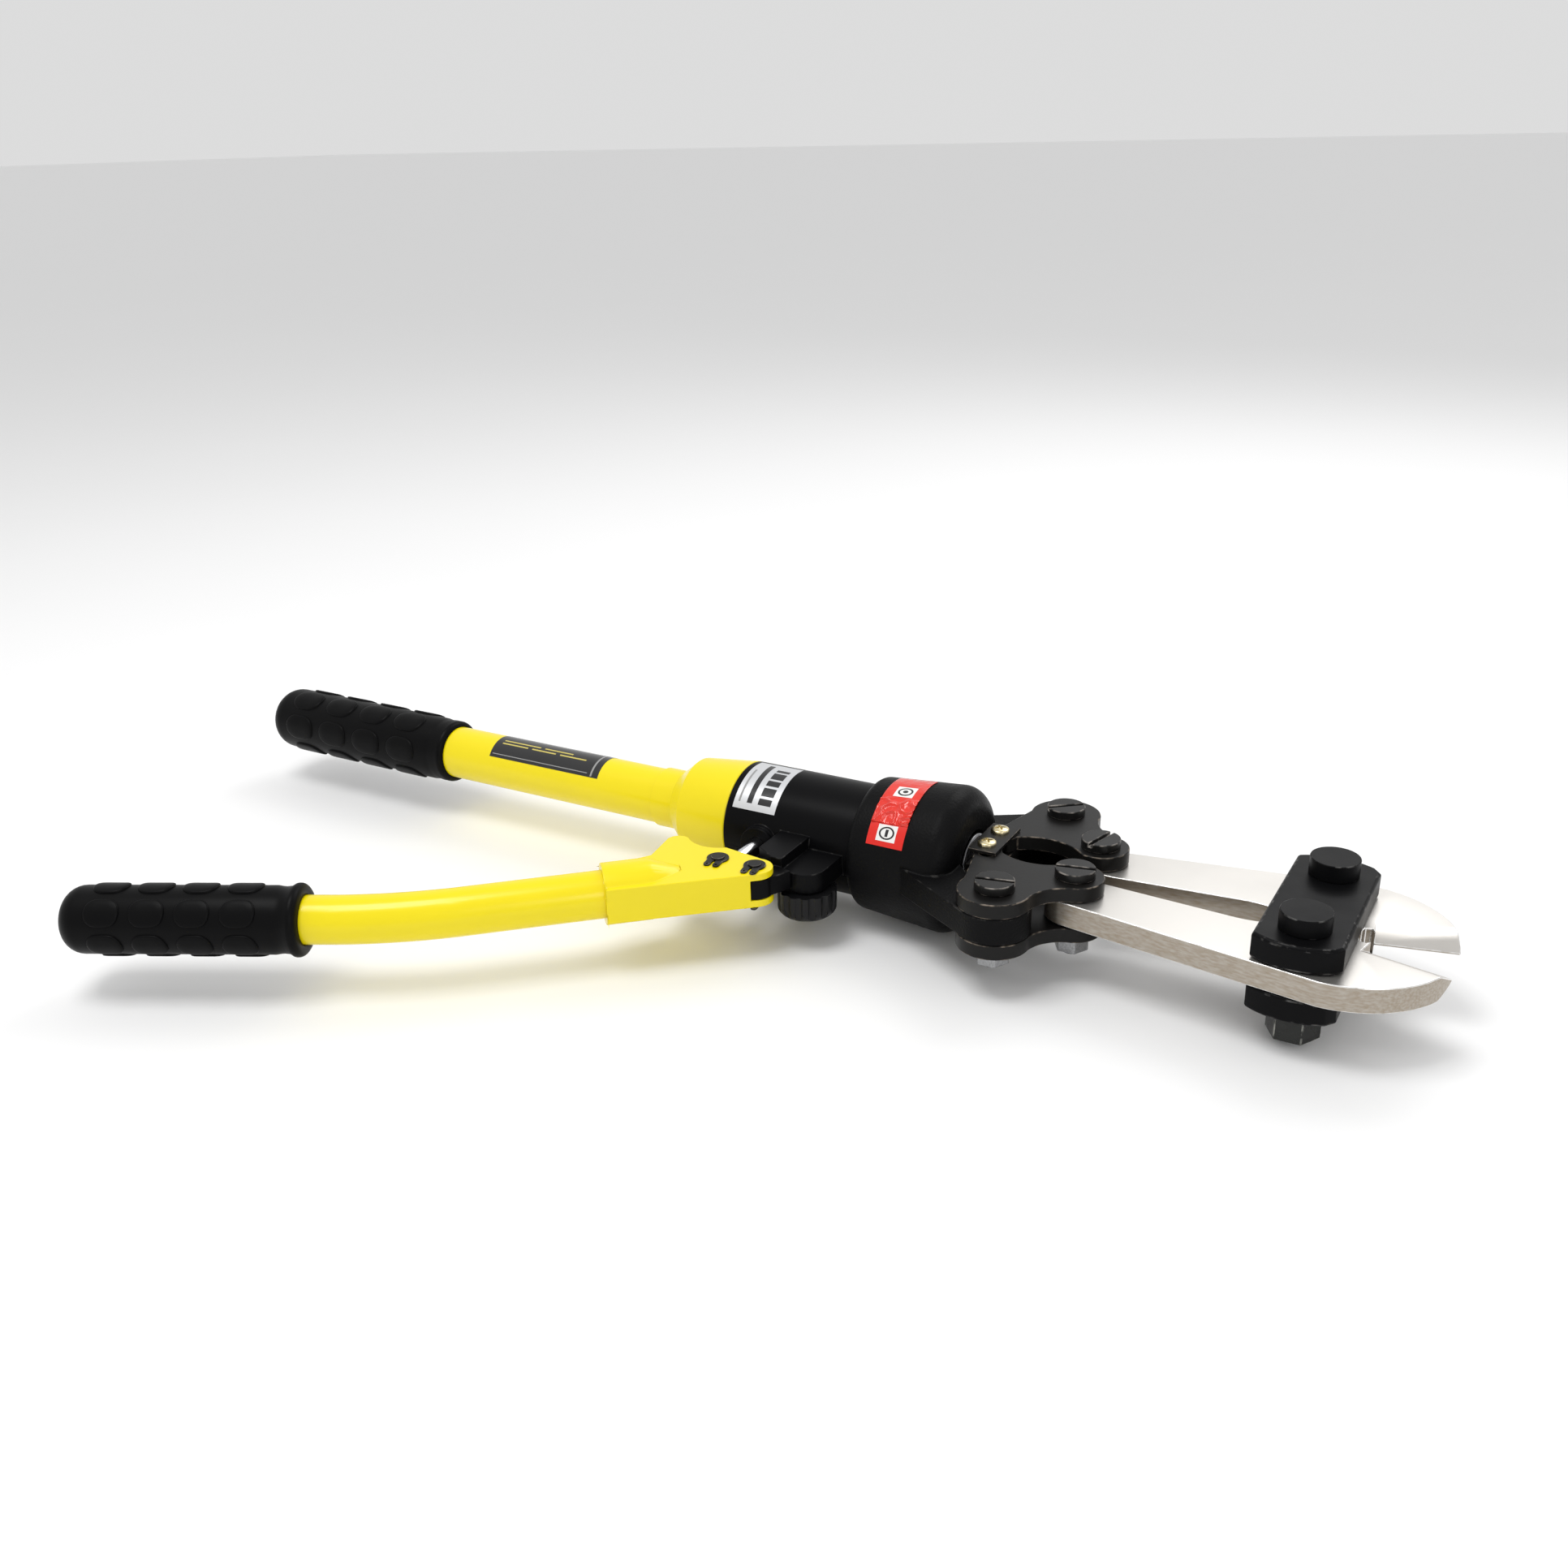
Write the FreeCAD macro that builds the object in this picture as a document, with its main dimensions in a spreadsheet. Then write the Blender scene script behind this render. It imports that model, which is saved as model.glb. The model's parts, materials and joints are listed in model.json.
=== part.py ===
import FreeCAD, Part
import math
import os

import Sketcher

# Hand-pumped hydraulic rebar cutter. Millimetres. The handle lies along X with
# the blades at +X, the pump lever is on the -Y side and Z is square to the flat
# linkage. Everything is laid out from the line through the two ear pins; the
# last step of every sub-part moves that line back by throat_reach, so that the
# origin of the object is the middle of the throat that the bar lies in.

SIZES = (
    ("throat_reach", 150.0, "ear pins to the middle of the bar throat"),
    ("running_gap", 0.05, "radial gap of a running fit"),
    ("face_gap", 0.1, "gap between faces that slide on each other"),
    ("edge_break", 0.5, "broken edges of the flat plates"),
    # pump body and fork head
    ("barrel_radius", 26.0, "pump body outside"),
    ("barrel_length", 65.0, "pump body between neck and fork head"),
    ("barrel_setback", 76.0, "front shoulder of the pump body behind the ear pins"),
    ("spigot_radius", 21.5, "threaded spigots at both ends of the pump body"),
    ("front_spigot", 26.0, "length of the front spigot"),
    ("rear_spigot", 14.0, "length of the rear spigot"),
    ("cylinder_radius", 17.5, "cylinder bore"),
    ("cylinder_depth", 60.0, "cylinder bore behind the front spigot's end"),
    ("fork_rear_radius", 30.6, "fork head at its rear rim"),
    ("fork_front_radius", 33.4, "fork head at its front shoulder"),
    ("fork_front_setback", 27.0, "fork head's front face behind the ear pins"),
    ("fork_rear_round", 4.0, "rounding of the rear rim"),
    ("fork_front_round", 9.5, "rounding of the front shoulder"),
    ("guide_length", 14.0, "guide bush"),
    ("ear_pin_y", 42.0, "ear pins off the centre line"),
    ("ear_radius", 15.5, "round end of each ear"),
    ("ear_step", 0.6, "how far each face of an ear stands past the blades"),
    ("ear_web_angle", 30.8, "outer edge of the ear web to the centre line"),
    ("ear_web_length", 51.0, "outer edge of the ear web, run into the head"),
    ("ear_inner_angle", 45.0, "inner edge of the ear web to the centre line"),
    # linkage
    ("front_pin_x", 25.2, "front crank pins ahead of the ear pins"),
    ("front_pin_y", 16.1, "front crank pins off the centre line"),
    ("pivot_x", 120.0, "blade pivots ahead of the ear pins"),
    ("pivot_y", 26.0, "blade pivots off the centre line"),
    ("yoke_pin_setback", 17.8, "yoke pins behind the ear pins"),
    ("yoke_pin_y", 7.3, "yoke pins off the centre line"),
    ("yoke_pin_radius", 3.2, "yoke pins"),
    ("crank_thick", 6.5, "one crank plate"),
    ("crank_front_radius", 12.3, "round front end of a crank plate"),
    ("crank_outer_flank", 18.0, "hollow outer flank of a crank plate"),
    ("crank_inner_flank", 23.0, "hollow inner flank of a crank plate"),
    ("finger_half", 6.3, "half width of the crank finger"),
    ("finger_reach", 40.3, "end of the crank finger from the ear pin"),
    ("slot_half", 4.0, "half width of the slot in the crank finger"),
    ("finger_corner", 1.5, "rounded corners of the crank finger"),
    ("slot_depth", 10.2, "depth of the slot in the crank finger"),
    ("bolt_radius", 5.0, "shank of the slotted bolts"),
    ("bolt_thread", 4.0, "threaded end of the slotted bolts"),
    ("bolt_head_radius", 8.45, "head of the slotted bolts"),
    ("bolt_head_height", 3.9, "head of the slotted bolts"),
    ("bolt_slot_width", 1.8, "driver slot"),
    ("bolt_slot_depth", 1.6, "driver slot"),
    ("small_nut_flats", 13.0, "nuts of the slotted bolts across flats"),
    ("small_nut_height", 8.0, "nuts of the slotted bolts"),
    ("bolt_tail", 1.7, "bolt end past its nut"),
    # blades and strap
    ("blade_half", 5.4, "half thickness of a blade"),
    ("jaw_open_angle", 12.2, "each blade's turn from closed to open"),
    ("edge_offset", 25.9, "cutting edge from the blade pivot"),
    ("edge_start", 16.5, "rear end of the cutting edge ahead of the pivot"),
    ("edge_end", 48.2, "tip of the blade ahead of the pivot"),
    ("edge_land", 0.25, "half thickness left at the cutting edge"),
    ("bevel_depth", 10.3, "width of the ground bevel"),
    ("blade_back", 16.5, "outer edge of the blade behind the pivot"),
    ("blade_heel", 13.8, "start of the outer round ahead of the pivot"),
    ("blade_round", 42.5, "outer round of the blade"),
    ("blade_tail_radius", 12.0, "rounded rear end of the blade"),
    ("open_pivot_play", 1.9, "extra radius of the far blade's rear hole"),
    ("strap_half_width", 17.0, "half width of a link plate"),
    ("strap_half_length", 38.4, "half length of a link plate at its corners"),
    ("strap_end_round", 30.0, "round end of a link plate"),
    ("strap_thick", 11.0, "one link plate"),
    ("strap_corner", 3.0, "chamfered front corners of a link plate"),
    ("pivot_bolt_radius", 6.0, "shank of the pivot bolts"),
    ("pivot_head_radius", 10.0, "head of the pivot bolts"),
    ("pivot_head_height", 7.6, "head of the pivot bolts"),
    ("big_nut_flats", 18.5, "nuts of the pivot bolts across flats"),
    ("big_nut_height", 13.0, "nuts of the pivot bolts"),
    # ram
    ("rod_radius", 13.5, "ram rod"),
    ("piston_length", 12.0, "ram piston"),
    ("rod_front_setback", 25.4, "front end of the ram rod behind the ear pins"),
    ("yoke_front_setback", 11.0, "front face of the yoke behind the ear pins"),
    ("yoke_half_width", 13.0, "half width of the yoke"),
    ("cover_half_width", 14.5, "half width of a retaining plate"),
    ("cover_thick", 1.5, "retaining plate"),
    ("screw_head_radius", 4.1, "pan head of the retaining screws"),
    ("screw_radius", 1.7, "shank of the retaining screws"),
    ("seal_width", 3.0, "piston and rod seals"),
    # neck, tube and main grip
    ("neck_length", 37.0, "yellow cone between pump body and collar"),
    ("neck_small_radius", 15.2, "neck at its small end"),
    ("neck_shoulder", 9.0, "rounded shoulder at the small end of the neck"),
    ("neck_taper", 3.0, "drop of the neck's radius up to its shoulder"),
    ("collar_length", 12.0, "collar behind the neck"),
    ("collar_radius", 14.5, "collar behind the neck"),
    ("tube_radius", 13.5, "handle tube outside"),
    ("tube_wall", 2.5, "handle tube wall"),
    ("tube_length", 269.0, "handle tube"),
    ("grip_length", 126.0, "main grip"),
    ("grip_radius", 17.2, "main grip over its pads"),
    ("grip_flange", 16.0, "main grip's front rim"),
    ("grip_cap", 5.0, "closed end of a grip past its tube"),
    ("bladder_radius", 9.5, "oil bladder"),
    ("bladder_wall", 1.5, "oil bladder"),
    # pump block
    ("block_top", 8.3, "top face of the pump block above the centre line"),
    ("block_front", 7.0, "front face of the pump block ahead of the lever fulcrum"),
    ("valve_boss_radius", 9.0, "boss of the release valve"),
    ("valve_boss_top", 3.0, "top face of the release valve's boss above the centre line"),
    ("block_bottom", 6.4, "underside of the pump block below the centre line"),
    ("block_stand", 23.0, "near edge of the pump block off the side of the pump body"),
    ("fulcrum_setback", 103.0, "lever fulcrum behind the ear pins"),
    ("fulcrum_stand", 35.0, "lever fulcrum off the side of the pump body"),
    ("lug_half", 4.4, "half thickness of the fulcrum lug"),
    ("lug_radius", 8.0, "round end of the fulcrum lug"),
    ("plunger_radius", 4.5, "pump plunger"),
    ("plunger_setback", 121.0, "plunger axis behind the ear pins"),
    ("plunger_pin_step", 1.0, "plunger pin farther out than the lever fulcrum"),
    ("plunger_rest", 19.5, "inner end of the plunger off the centre line"),
    ("plunger_eye", 6.8, "round eye of the plunger"),
    ("plunger_eye_half", 4.0, "half thickness of the plunger's eye"),
    ("eye_travel", 2.0, "length of the slot in the plunger's eye"),
    ("eye_play", 0.25, "pin play in the plunger's eye"),
    ("boss_radius", 9.0, "plunger boss on the pump body"),
    ("boss_stand", 1.0, "end of the plunger boss off the side of the pump body"),
    ("gland_length", 2.0, "visible part of the plunger gland"),
    ("gland_thread", 3.0, "threaded part of the plunger gland"),
    ("valve_radius", 4.0, "valve bores"),
    ("ball_radius", 3.0, "valve balls"),
    ("port_radius", 1.5, "oil passages"),
    ("knob_setback", 88.0, "release knob behind the ear pins"),
    ("knob_stand", 16.0, "release knob's centre off the side of the pump body"),
    ("knob_radius", 13.3, "release knob"),
    ("knob_height", 12.3, "release knob"),
    ("knob_round", 4.5, "rounded lower rim of the knob"),
    ("knob_flute", 2.2, "finger flutes round the knob"),
    ("spindle_radius", 3.0, "release valve spindle"),
    # lever
    ("cheek_half", 8.0, "outside of the fork cheeks from the centre plane"),
    ("cheek_gap_half", 4.65, "inside of the fork cheeks from the centre plane"),
    ("fork_wall", 3.5, "side wall of the lever fork"),
    ("fork_wall_angle", 41.2, "side wall of the lever fork to the handle"),
    ("nose_radius", 8.0, "nose of the fork cheeks"),
    ("pin_radius", 3.0, "fulcrum and plunger pins"),
    ("pin_half", 9.5, "half length of the fulcrum and plunger pins"),
    ("circlip_thick", 0.9, "circlips"),
    ("circlip_radius", 4.9, "circlip rings"),
    ("circlip_ear", 1.5, "ears of the circlips"),
    ("socket_radius", 13.5, "tube socket of the fork"),
    ("socket_depth", 18.0, "depth of the tube in its socket"),
    ("socket_setback", 155.7, "socket mouth behind the ear pins"),
    ("socket_step", 39.2, "socket mouth farther out than the lever fulcrum"),
    ("lever_angle", 43.0, "first straight of the lever tube to the handle"),
    ("lever_bend", 16.0, "bend of the lever tube"),
    ("lever_bend_radius", 222.0, "bend radius of the lever tube"),
    ("lever_straight", 56.0, "first straight past the socket"),
    ("lever_tail", 104.0, "last straight of the lever tube"),
    ("lever_tube_radius", 10.5, "lever tube outside"),
    ("lever_tube_wall", 2.3, "lever tube wall"),
    ("lever_grip_length", 103.0, "lever grip"),
    ("lever_grip_radius", 15.4, "lever grip over its pads"),
)


class Size:
    """A size that knows both its number and the expression that gives it."""

    def __init__(self, value, text):
        self.value = value
        self.text = text

    def __add__(self, other):
        other = as_size(other)
        return Size(self.value + other.value, f"({self.text} + {other.text})")

    def __sub__(self, other):
        other = as_size(other)
        return Size(self.value - other.value, f"({self.text} - {other.text})")

    def __mul__(self, other):
        other = as_size(other)
        return Size(self.value * other.value, f"({self.text} * {other.text})")

    def __truediv__(self, other):
        other = as_size(other)
        return Size(self.value / other.value, f"({self.text} / {other.text})")

    def __neg__(self):
        return Size(-self.value, f"(-1 * {self.text})")

    __radd__ = __add__
    __rmul__ = __mul__

    def __rsub__(self, other):
        return as_size(other) - self


def as_size(value):
    return value if isinstance(value, Size) else Size(float(value), f"({float(value):.4f})")


def sine(angle):
    angle = as_size(angle)
    return Size(math.sin(math.radians(angle.value)), f"sin({angle.text})")


def cosine(angle):
    angle = as_size(angle)
    return Size(math.cos(math.radians(angle.value)), f"cos({angle.text})")


def root(square):
    return Size(math.sqrt(square.value), f"sqrt({square.text})")


class Point:
    """A place in a sketch plane, made of two sizes."""

    def __init__(self, x, y):
        self.x = as_size(x)
        self.y = as_size(y)

    def toward(self, angle, distance):
        return Point(self.x + cosine(angle) * distance, self.y + sine(angle) * distance)

    def along(self, direction, distance):
        return Point(self.x + direction.x * distance, self.y + direction.y * distance)

    def left(self):
        return Point(-self.y, self.x)

    def flipped(self, side):
        return Point(self.x, self.y * side)


doc = FreeCAD.newDocument("rebar_cutter")
sheet = doc.addObject("Spreadsheet::Sheet", "sizes")
size = {}
for row, (alias, number, meaning) in enumerate(SIZES, start=1):
    sheet.set(f"A{row}", meaning)
    sheet.set(f"B{row}", str(number))
    sheet.setAlias(f"B{row}", alias)
    size[alias] = Size(number, f"sizes.{alias}")
doc.recompute()

nodes = {}


# ---------------------------------------------------------------- helpers

def place(piece, x, y, z, rotation=None):
    """Binds where a piece stands; the rotation is a plain one."""
    if rotation is not None:
        piece.Placement = FreeCAD.Placement(FreeCAD.Vector(), rotation)
    for axis, value in zip("xyz", (x, y, z)):
        piece.setExpression(f"Placement.Base.{axis}", as_size(value).text)
    return piece


def bind(piece, **values):
    for name, value in values.items():
        piece.setExpression(name, as_size(value).text)
    return piece


TURNS = {
    "Z": FreeCAD.Rotation(),
    "X": FreeCAD.Rotation(FreeCAD.Vector(0, 1, 0), 90),
    "Y": FreeCAD.Rotation(FreeCAD.Vector(1, 0, 0), -90),
}


def cylinder(name, radius, length, x, y, z, axis="Z"):
    piece = doc.addObject("Part::Cylinder", name)
    bind(piece, Radius=radius, Height=length)
    return place(piece, x, y, z, TURNS[axis])


def ball(name, radius, x, y, z):
    piece = doc.addObject("Part::Sphere", name)
    bind(piece, Radius=radius)
    return place(piece, x, y, z)


def block(name, length, width, height, x, y, z):
    piece = doc.addObject("Part::Box", name)
    bind(piece, Length=length, Width=width, Height=height)
    return place(piece, x, y, z)


def hexagon(name, flats, height, x, y, z):
    piece = doc.addObject("Part::Prism", name)
    piece.Polygon = 6
    bind(piece, Circumradius=flats / math.sqrt(3), Height=height)
    return place(piece, x, y, z)


def ring(name, outer, inner, length, x, y, z, axis="Z"):
    outside = cylinder(f"{name}_outside", outer, length, x, y, z, axis)
    inside = cylinder(f"{name}_inside", inner, length, x, y, z, axis)
    return cut(name, outside, inside)


def fuse(name, *pieces):
    joined = doc.addObject("Part::MultiFuse", name)
    joined.Shapes = list(pieces)
    return joined


def cut(name, base, *tools):
    removed = tools[0] if len(tools) == 1 else fuse(f"{name}_removed", *tools)
    result = doc.addObject("Part::Cut", name)
    result.Base = base
    result.Tool = removed
    return result


def group(name, *pieces):
    result = doc.addObject("Part::Compound", name)
    result.Links = list(pieces)
    return result


def origin_plane(body, role):
    return next(item for item in body.Origin.OriginFeatures if item.Role == role)


def sketch_on(body, name, role, offset=0.0):
    sketch = body.newObject("Sketcher::SketchObject", name)
    sketch.AttachmentSupport = [(origin_plane(body, role), "")]
    sketch.MapMode = "FlatFace"
    sketch.setExpression("AttachmentOffset.Base.z", as_size(offset).text)
    return sketch


def pin_point(sketch, item, end, place_at):
    for kind, value in (("DistanceX", place_at.x), ("DistanceY", place_at.y)):
        number = sketch.addConstraint(
            Sketcher.Constraint(kind, -1, 1, item, end, value.value))
        sketch.setExpression(f"Constraints[{number}]", value.text)


def arc_between(start, end, radius):
    """The arc from start to end; a positive radius turns left, a negative one right."""
    chord = FreeCAD.Vector(end.x.value - start.x.value, end.y.value - start.y.value, 0)
    middle = FreeCAD.Vector(start.x.value, start.y.value, 0) + chord * 0.5
    rise = math.sqrt(max(radius.value ** 2 - chord.Length ** 2 / 4, 0.0))
    inward = FreeCAD.Vector(-chord.y, chord.x, 0).normalize()
    centre = middle + inward * math.copysign(rise, radius.value)
    first, last = (start, end) if radius.value > 0 else (end, start)
    angles = [math.atan2(p.y.value - centre.y, p.x.value - centre.x) for p in (first, last)]
    circle = Part.Circle(centre, FreeCAD.Vector(0, 0, 1), abs(radius.value))
    return Part.ArcOfCircle(circle, angles[0], angles[1])


def add_outline(sketch, corners):
    """Closes a loop of lines and arcs. Each corner is a Point, or a Point and the
    radius of the arc that leaves it."""
    corners = [item if isinstance(item, tuple) else (item, None) for item in corners]
    starts = []
    ends = []
    for index, (start, radius) in enumerate(corners):
        end = corners[(index + 1) % len(corners)][0]
        if radius is None:
            vectors = [FreeCAD.Vector(p.x.value, p.y.value, 0) for p in (start, end)]
            item = sketch.addGeometry(Part.LineSegment(*vectors), False)
        else:
            item = sketch.addGeometry(arc_between(start, end, radius), False)
        turns_right = radius is not None and radius.value < 0
        starts.append((item, 2 if turns_right else 1))
        ends.append((item, 1 if turns_right else 2))
    for index, (start, radius) in enumerate(corners):
        following = starts[(index + 1) % len(corners)]
        sketch.addConstraint(Sketcher.Constraint("Coincident", *ends[index], *following))
        pin_point(sketch, *starts[index], start)
    for index, (start, radius) in enumerate(corners):
        if radius is not None:
            size_of = radius if radius.value > 0 else -radius
            number = sketch.addConstraint(
                Sketcher.Constraint("Radius", starts[index][0], size_of.value))
            sketch.setExpression(f"Constraints[{number}]", size_of.text)


def add_circle(sketch, centre, radius):
    radius = as_size(radius)
    middle = FreeCAD.Vector(centre.x.value, centre.y.value, 0)
    circle = Part.Circle(middle, FreeCAD.Vector(0, 0, 1), radius.value)
    item = sketch.addGeometry(circle, False)
    pin_point(sketch, item, 3, centre)
    number = sketch.addConstraint(Sketcher.Constraint("Radius", item, radius.value))
    sketch.setExpression(f"Constraints[{number}]", radius.text)


def turned(name, corners):
    """A body turned about X from an outline of (x, radius) points."""
    body = doc.addObject("PartDesign::Body", name)
    sketch = sketch_on(body, f"{name}_profile", "XZ_Plane")
    add_outline(sketch, corners)
    revolution = body.newObject("PartDesign::Revolution", f"{name}_turned")
    revolution.Profile = sketch
    revolution.ReferenceAxis = (sketch, ["H_Axis"])
    revolution.Angle = 360.0
    return body


def plate(name, corners, low, thick, holes=()):
    """A flat body of the given outline, from z = low upward."""
    body = doc.addObject("PartDesign::Body", name)
    sketch = sketch_on(body, f"{name}_outline", "XY_Plane", low)
    add_outline(sketch, corners)
    for centre, radius in holes:
        add_circle(sketch, centre, radius)
    pad = body.newObject("PartDesign::Pad", f"{name}_pad")
    pad.Profile = sketch
    bind(pad, Length=thick)
    return body


def break_edges(body, amount):
    """Chamfers the rims of both flat faces of a plate, holes left sharp."""
    doc.recompute()
    pad = body.Tip
    levels = (pad.Shape.BoundBox.ZMin, pad.Shape.BoundBox.ZMax)
    faces = [face for face in pad.Shape.Faces if abs(face.normalAt(0, 0).z) > 0.99]
    rims = [edge for face in faces for edge in face.OuterWire.Edges
            if abs(face.CenterOfMass.z - levels[0]) < 0.01
            or abs(face.CenterOfMass.z - levels[1]) < 0.01]
    names = [f"Edge{index}" for index, edge in enumerate(pad.Shape.Edges, start=1)
             if any(edge.isSame(rim) for rim in rims)]
    chamfer = body.newObject("PartDesign::Chamfer", f"{body.Name}_edge_break")
    chamfer.Base = (pad, names)
    bind(chamfer, Size=amount)
    return body


def finish(piece, label):
    """Names a sub-part and moves it from the ear pins' frame to the throat's."""
    piece.Label = label
    piece.setExpression("Placement.Base.x", f"{piece_offset(piece)} - sizes.throat_reach")
    nodes[label] = piece
    return piece


def piece_offset(piece):
    bound = dict(piece.ExpressionEngine).get(".Placement.Base.x")
    bound = bound or dict(piece.ExpressionEngine).get("Placement.Base.x")
    return bound if bound else "0"


# ---------------------------------------------------------------- stations

gap = size["running_gap"]
face_gap = size["face_gap"]
barrel_side = size["barrel_radius"]
knob_y = barrel_side + size["knob_stand"]
block_reach = barrel_side + size["block_stand"]
boss_reach = barrel_side + size["boss_stand"]
fulcrum_y = barrel_side + size["fulcrum_stand"]
plunger_pin_y = fulcrum_y + size["plunger_pin_step"]
socket_y = fulcrum_y + size["socket_step"]
ear_half = size["blade_half"] + size["ear_step"]
barrel_front = -size["barrel_setback"]
barrel_rear = barrel_front - size["barrel_length"]
spigot_front = barrel_front + size["front_spigot"]
spigot_rear = barrel_rear - size["rear_spigot"]
cylinder_end = spigot_front - size["cylinder_depth"]
fork_face = -size["fork_front_setback"]
guide_front = spigot_front + size["guide_length"]
rod_front = -size["rod_front_setback"]
yoke_front = -size["yoke_front_setback"]
neck_small_end = barrel_rear - size["neck_length"]
collar_rear = neck_small_end - size["collar_length"]
tube_front = neck_small_end + 5
tube_rear = tube_front - size["tube_length"]
plunger_x = -size["plunger_setback"]
crank_low = ear_half + face_gap
crank_top = crank_low + size["crank_thick"]
strap_low = size["blade_half"] + face_gap
strap_top = strap_low + size["strap_thick"]

fulcrum = Point(-size["fulcrum_setback"], -fulcrum_y)
plunger_pin = Point(plunger_x, -plunger_pin_y)
knob_centre = Point(-size["knob_setback"], -knob_y)
socket_mouth = Point(-size["socket_setback"], -socket_y)


# ---------------------------------------------------------------- pump body

def build_pump_body():
    """The black pump casting: barrel, plunger boss, pump block and fulcrum lug."""
    barrel = turned("pump_barrel", (
        Point(spigot_rear, 0),
        Point(spigot_rear, size["spigot_radius"]),
        Point(barrel_rear, size["spigot_radius"]),
        Point(barrel_rear, size["barrel_radius"]),
        Point(barrel_front, size["barrel_radius"]),
        Point(barrel_front, size["spigot_radius"]),
        Point(spigot_front, size["spigot_radius"]),
        Point(spigot_front, 0),
    ))
    boss = cylinder("plunger_boss", size["boss_radius"], boss_reach,
                    plunger_x, -boss_reach, 0, "Y")
    edge = -block_reach
    rear = fulcrum.x - size["lug_radius"]
    casting = plate("pump_block", (
        Point(rear, -size["barrel_radius"] * 0.6),
        Point(rear, edge + 5.5),
        Point(fulcrum.x + 2, edge - 1.2),
        Point(fulcrum.x + size["block_front"], edge - 1.2),
        Point(fulcrum.x + size["block_front"], -size["barrel_radius"] * 0.6),
    ), -size["block_bottom"], size["block_bottom"] + size["block_top"])
    valve_front = knob_centre.x + size["valve_boss_radius"]
    valve_height = size["block_bottom"] + size["valve_boss_top"]
    valve_web = plate("valve_web", (
        Point(fulcrum.x + 4, -size["barrel_radius"] * 0.6),
        Point(fulcrum.x + 4, edge - 1.2),
        Point(knob_centre.x, -knob_y - size["valve_boss_radius"]),
        Point(valve_front, -knob_y),
        Point(valve_front, -size["barrel_radius"] * 0.6),
    ), -size["block_bottom"], valve_height)
    valve_boss = cylinder("valve_boss", size["valve_boss_radius"], valve_height,
                          knob_centre.x, knob_centre.y, -size["block_bottom"])
    lug_web = plate("lug_web", (
        Point(fulcrum.x - size["lug_radius"], fulcrum.y),
        Point(fulcrum.x + size["lug_radius"], fulcrum.y),
        Point(fulcrum.x + 12.5, edge - 2.5),
        Point(rear, edge + 3),
    ), -size["lug_half"], size["lug_half"] * 2)
    lug = cylinder("fulcrum_lug", size["lug_radius"], size["lug_half"] * 2,
                   fulcrum.x, fulcrum.y, -size["lug_half"])
    casting_whole = fuse("pump_casting", barrel, boss, casting, valve_web, valve_boss,
                         lug_web, lug)
    bores = (
        cylinder("cylinder_bore", size["cylinder_radius"], size["cylinder_depth"],
                 cylinder_end, 0, 0, "X"),
        cylinder("plunger_bore", size["plunger_radius"] + gap, boss_reach - 9,
                 plunger_x, -boss_reach, 0, "Y"),
        cylinder("gland_thread", size["plunger_radius"] + 2.5, size["gland_thread"],
                 plunger_x, -boss_reach, 0, "Y"),
        cylinder("seal_seat", size["plunger_radius"] + 2,
                 size["gland_thread"] + size["seal_width"],
                 plunger_x, -boss_reach, 0, "Y"),
        cylinder("discharge_bore", size["valve_radius"], size["barrel_radius"] + 1,
                 plunger_x, 0, 0, "Y"),
        cylinder("discharge_port", size["port_radius"], 10, plunger_x, -9.5, 0, "Y"),
        cylinder("cylinder_port", size["port_radius"], cylinder_end - plunger_x + 1,
                 plunger_x, size["valve_radius"] + 3, 0, "X"),
        cylinder("suction_bore", size["valve_radius"], plunger_x - spigot_rear - 10,
                 spigot_rear, -12, 0, "X"),
        cylinder("suction_port", size["port_radius"], 11, plunger_x - 10.5, -12, 0, "X"),
        cylinder("spindle_bore", size["spindle_radius"] + gap, size["block_bottom"],
                 knob_centre.x, knob_centre.y, -size["block_bottom"]),
        cylinder("fulcrum_bore", size["pin_radius"] + gap, size["lug_half"] * 2,
                 fulcrum.x, fulcrum.y, -size["lug_half"]),
    )
    finish(cut("pump_body_solid", casting_whole, *bores), "pump_body")


def build_pump_details():
    """Gland, seals, valve balls and plugs that sit in the pump body's bores."""
    gland_head = cylinder("gland_head", size["boss_radius"] - 0.2, size["gland_length"],
                          plunger_x, -boss_reach - size["gland_length"], 0, "Y")
    gland_stem = cylinder("gland_stem", size["plunger_radius"] + 2.5, size["gland_thread"],
                          plunger_x, -boss_reach, 0, "Y")
    gland_bore = cylinder("gland_bore", size["plunger_radius"] + gap,
                          size["gland_thread"] + size["gland_length"],
                          plunger_x, -boss_reach - size["gland_length"], 0, "Y")
    finish(cut("gland_solid", fuse("gland_whole", gland_head, gland_stem), gland_bore),
           "plunger_gland")
    finish(ring("plunger_seal_ring", size["plunger_radius"] + 2, size["plunger_radius"] + gap,
                size["seal_width"], plunger_x, size["gland_thread"] - boss_reach, 0, "Y"),
           "plunger_seal")
    discharge = ball("discharge_ball", size["ball_radius"], plunger_x, 3.5, 0)
    suction = ball("suction_ball", size["ball_radius"], plunger_x - 14, -12, 0)
    finish(group("both_balls", discharge, suction), "valve_balls")
    side_plug = cylinder("side_plug", size["valve_radius"], 13,
                         plunger_x, size["barrel_radius"] - 13.5, 0, "Y")
    intake = ring("intake_plug", size["valve_radius"], size["port_radius"], 8,
                  spigot_rear + 1, -12, 0, "X")
    finish(group("both_plugs", side_plug, intake), "valve_plugs")


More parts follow.
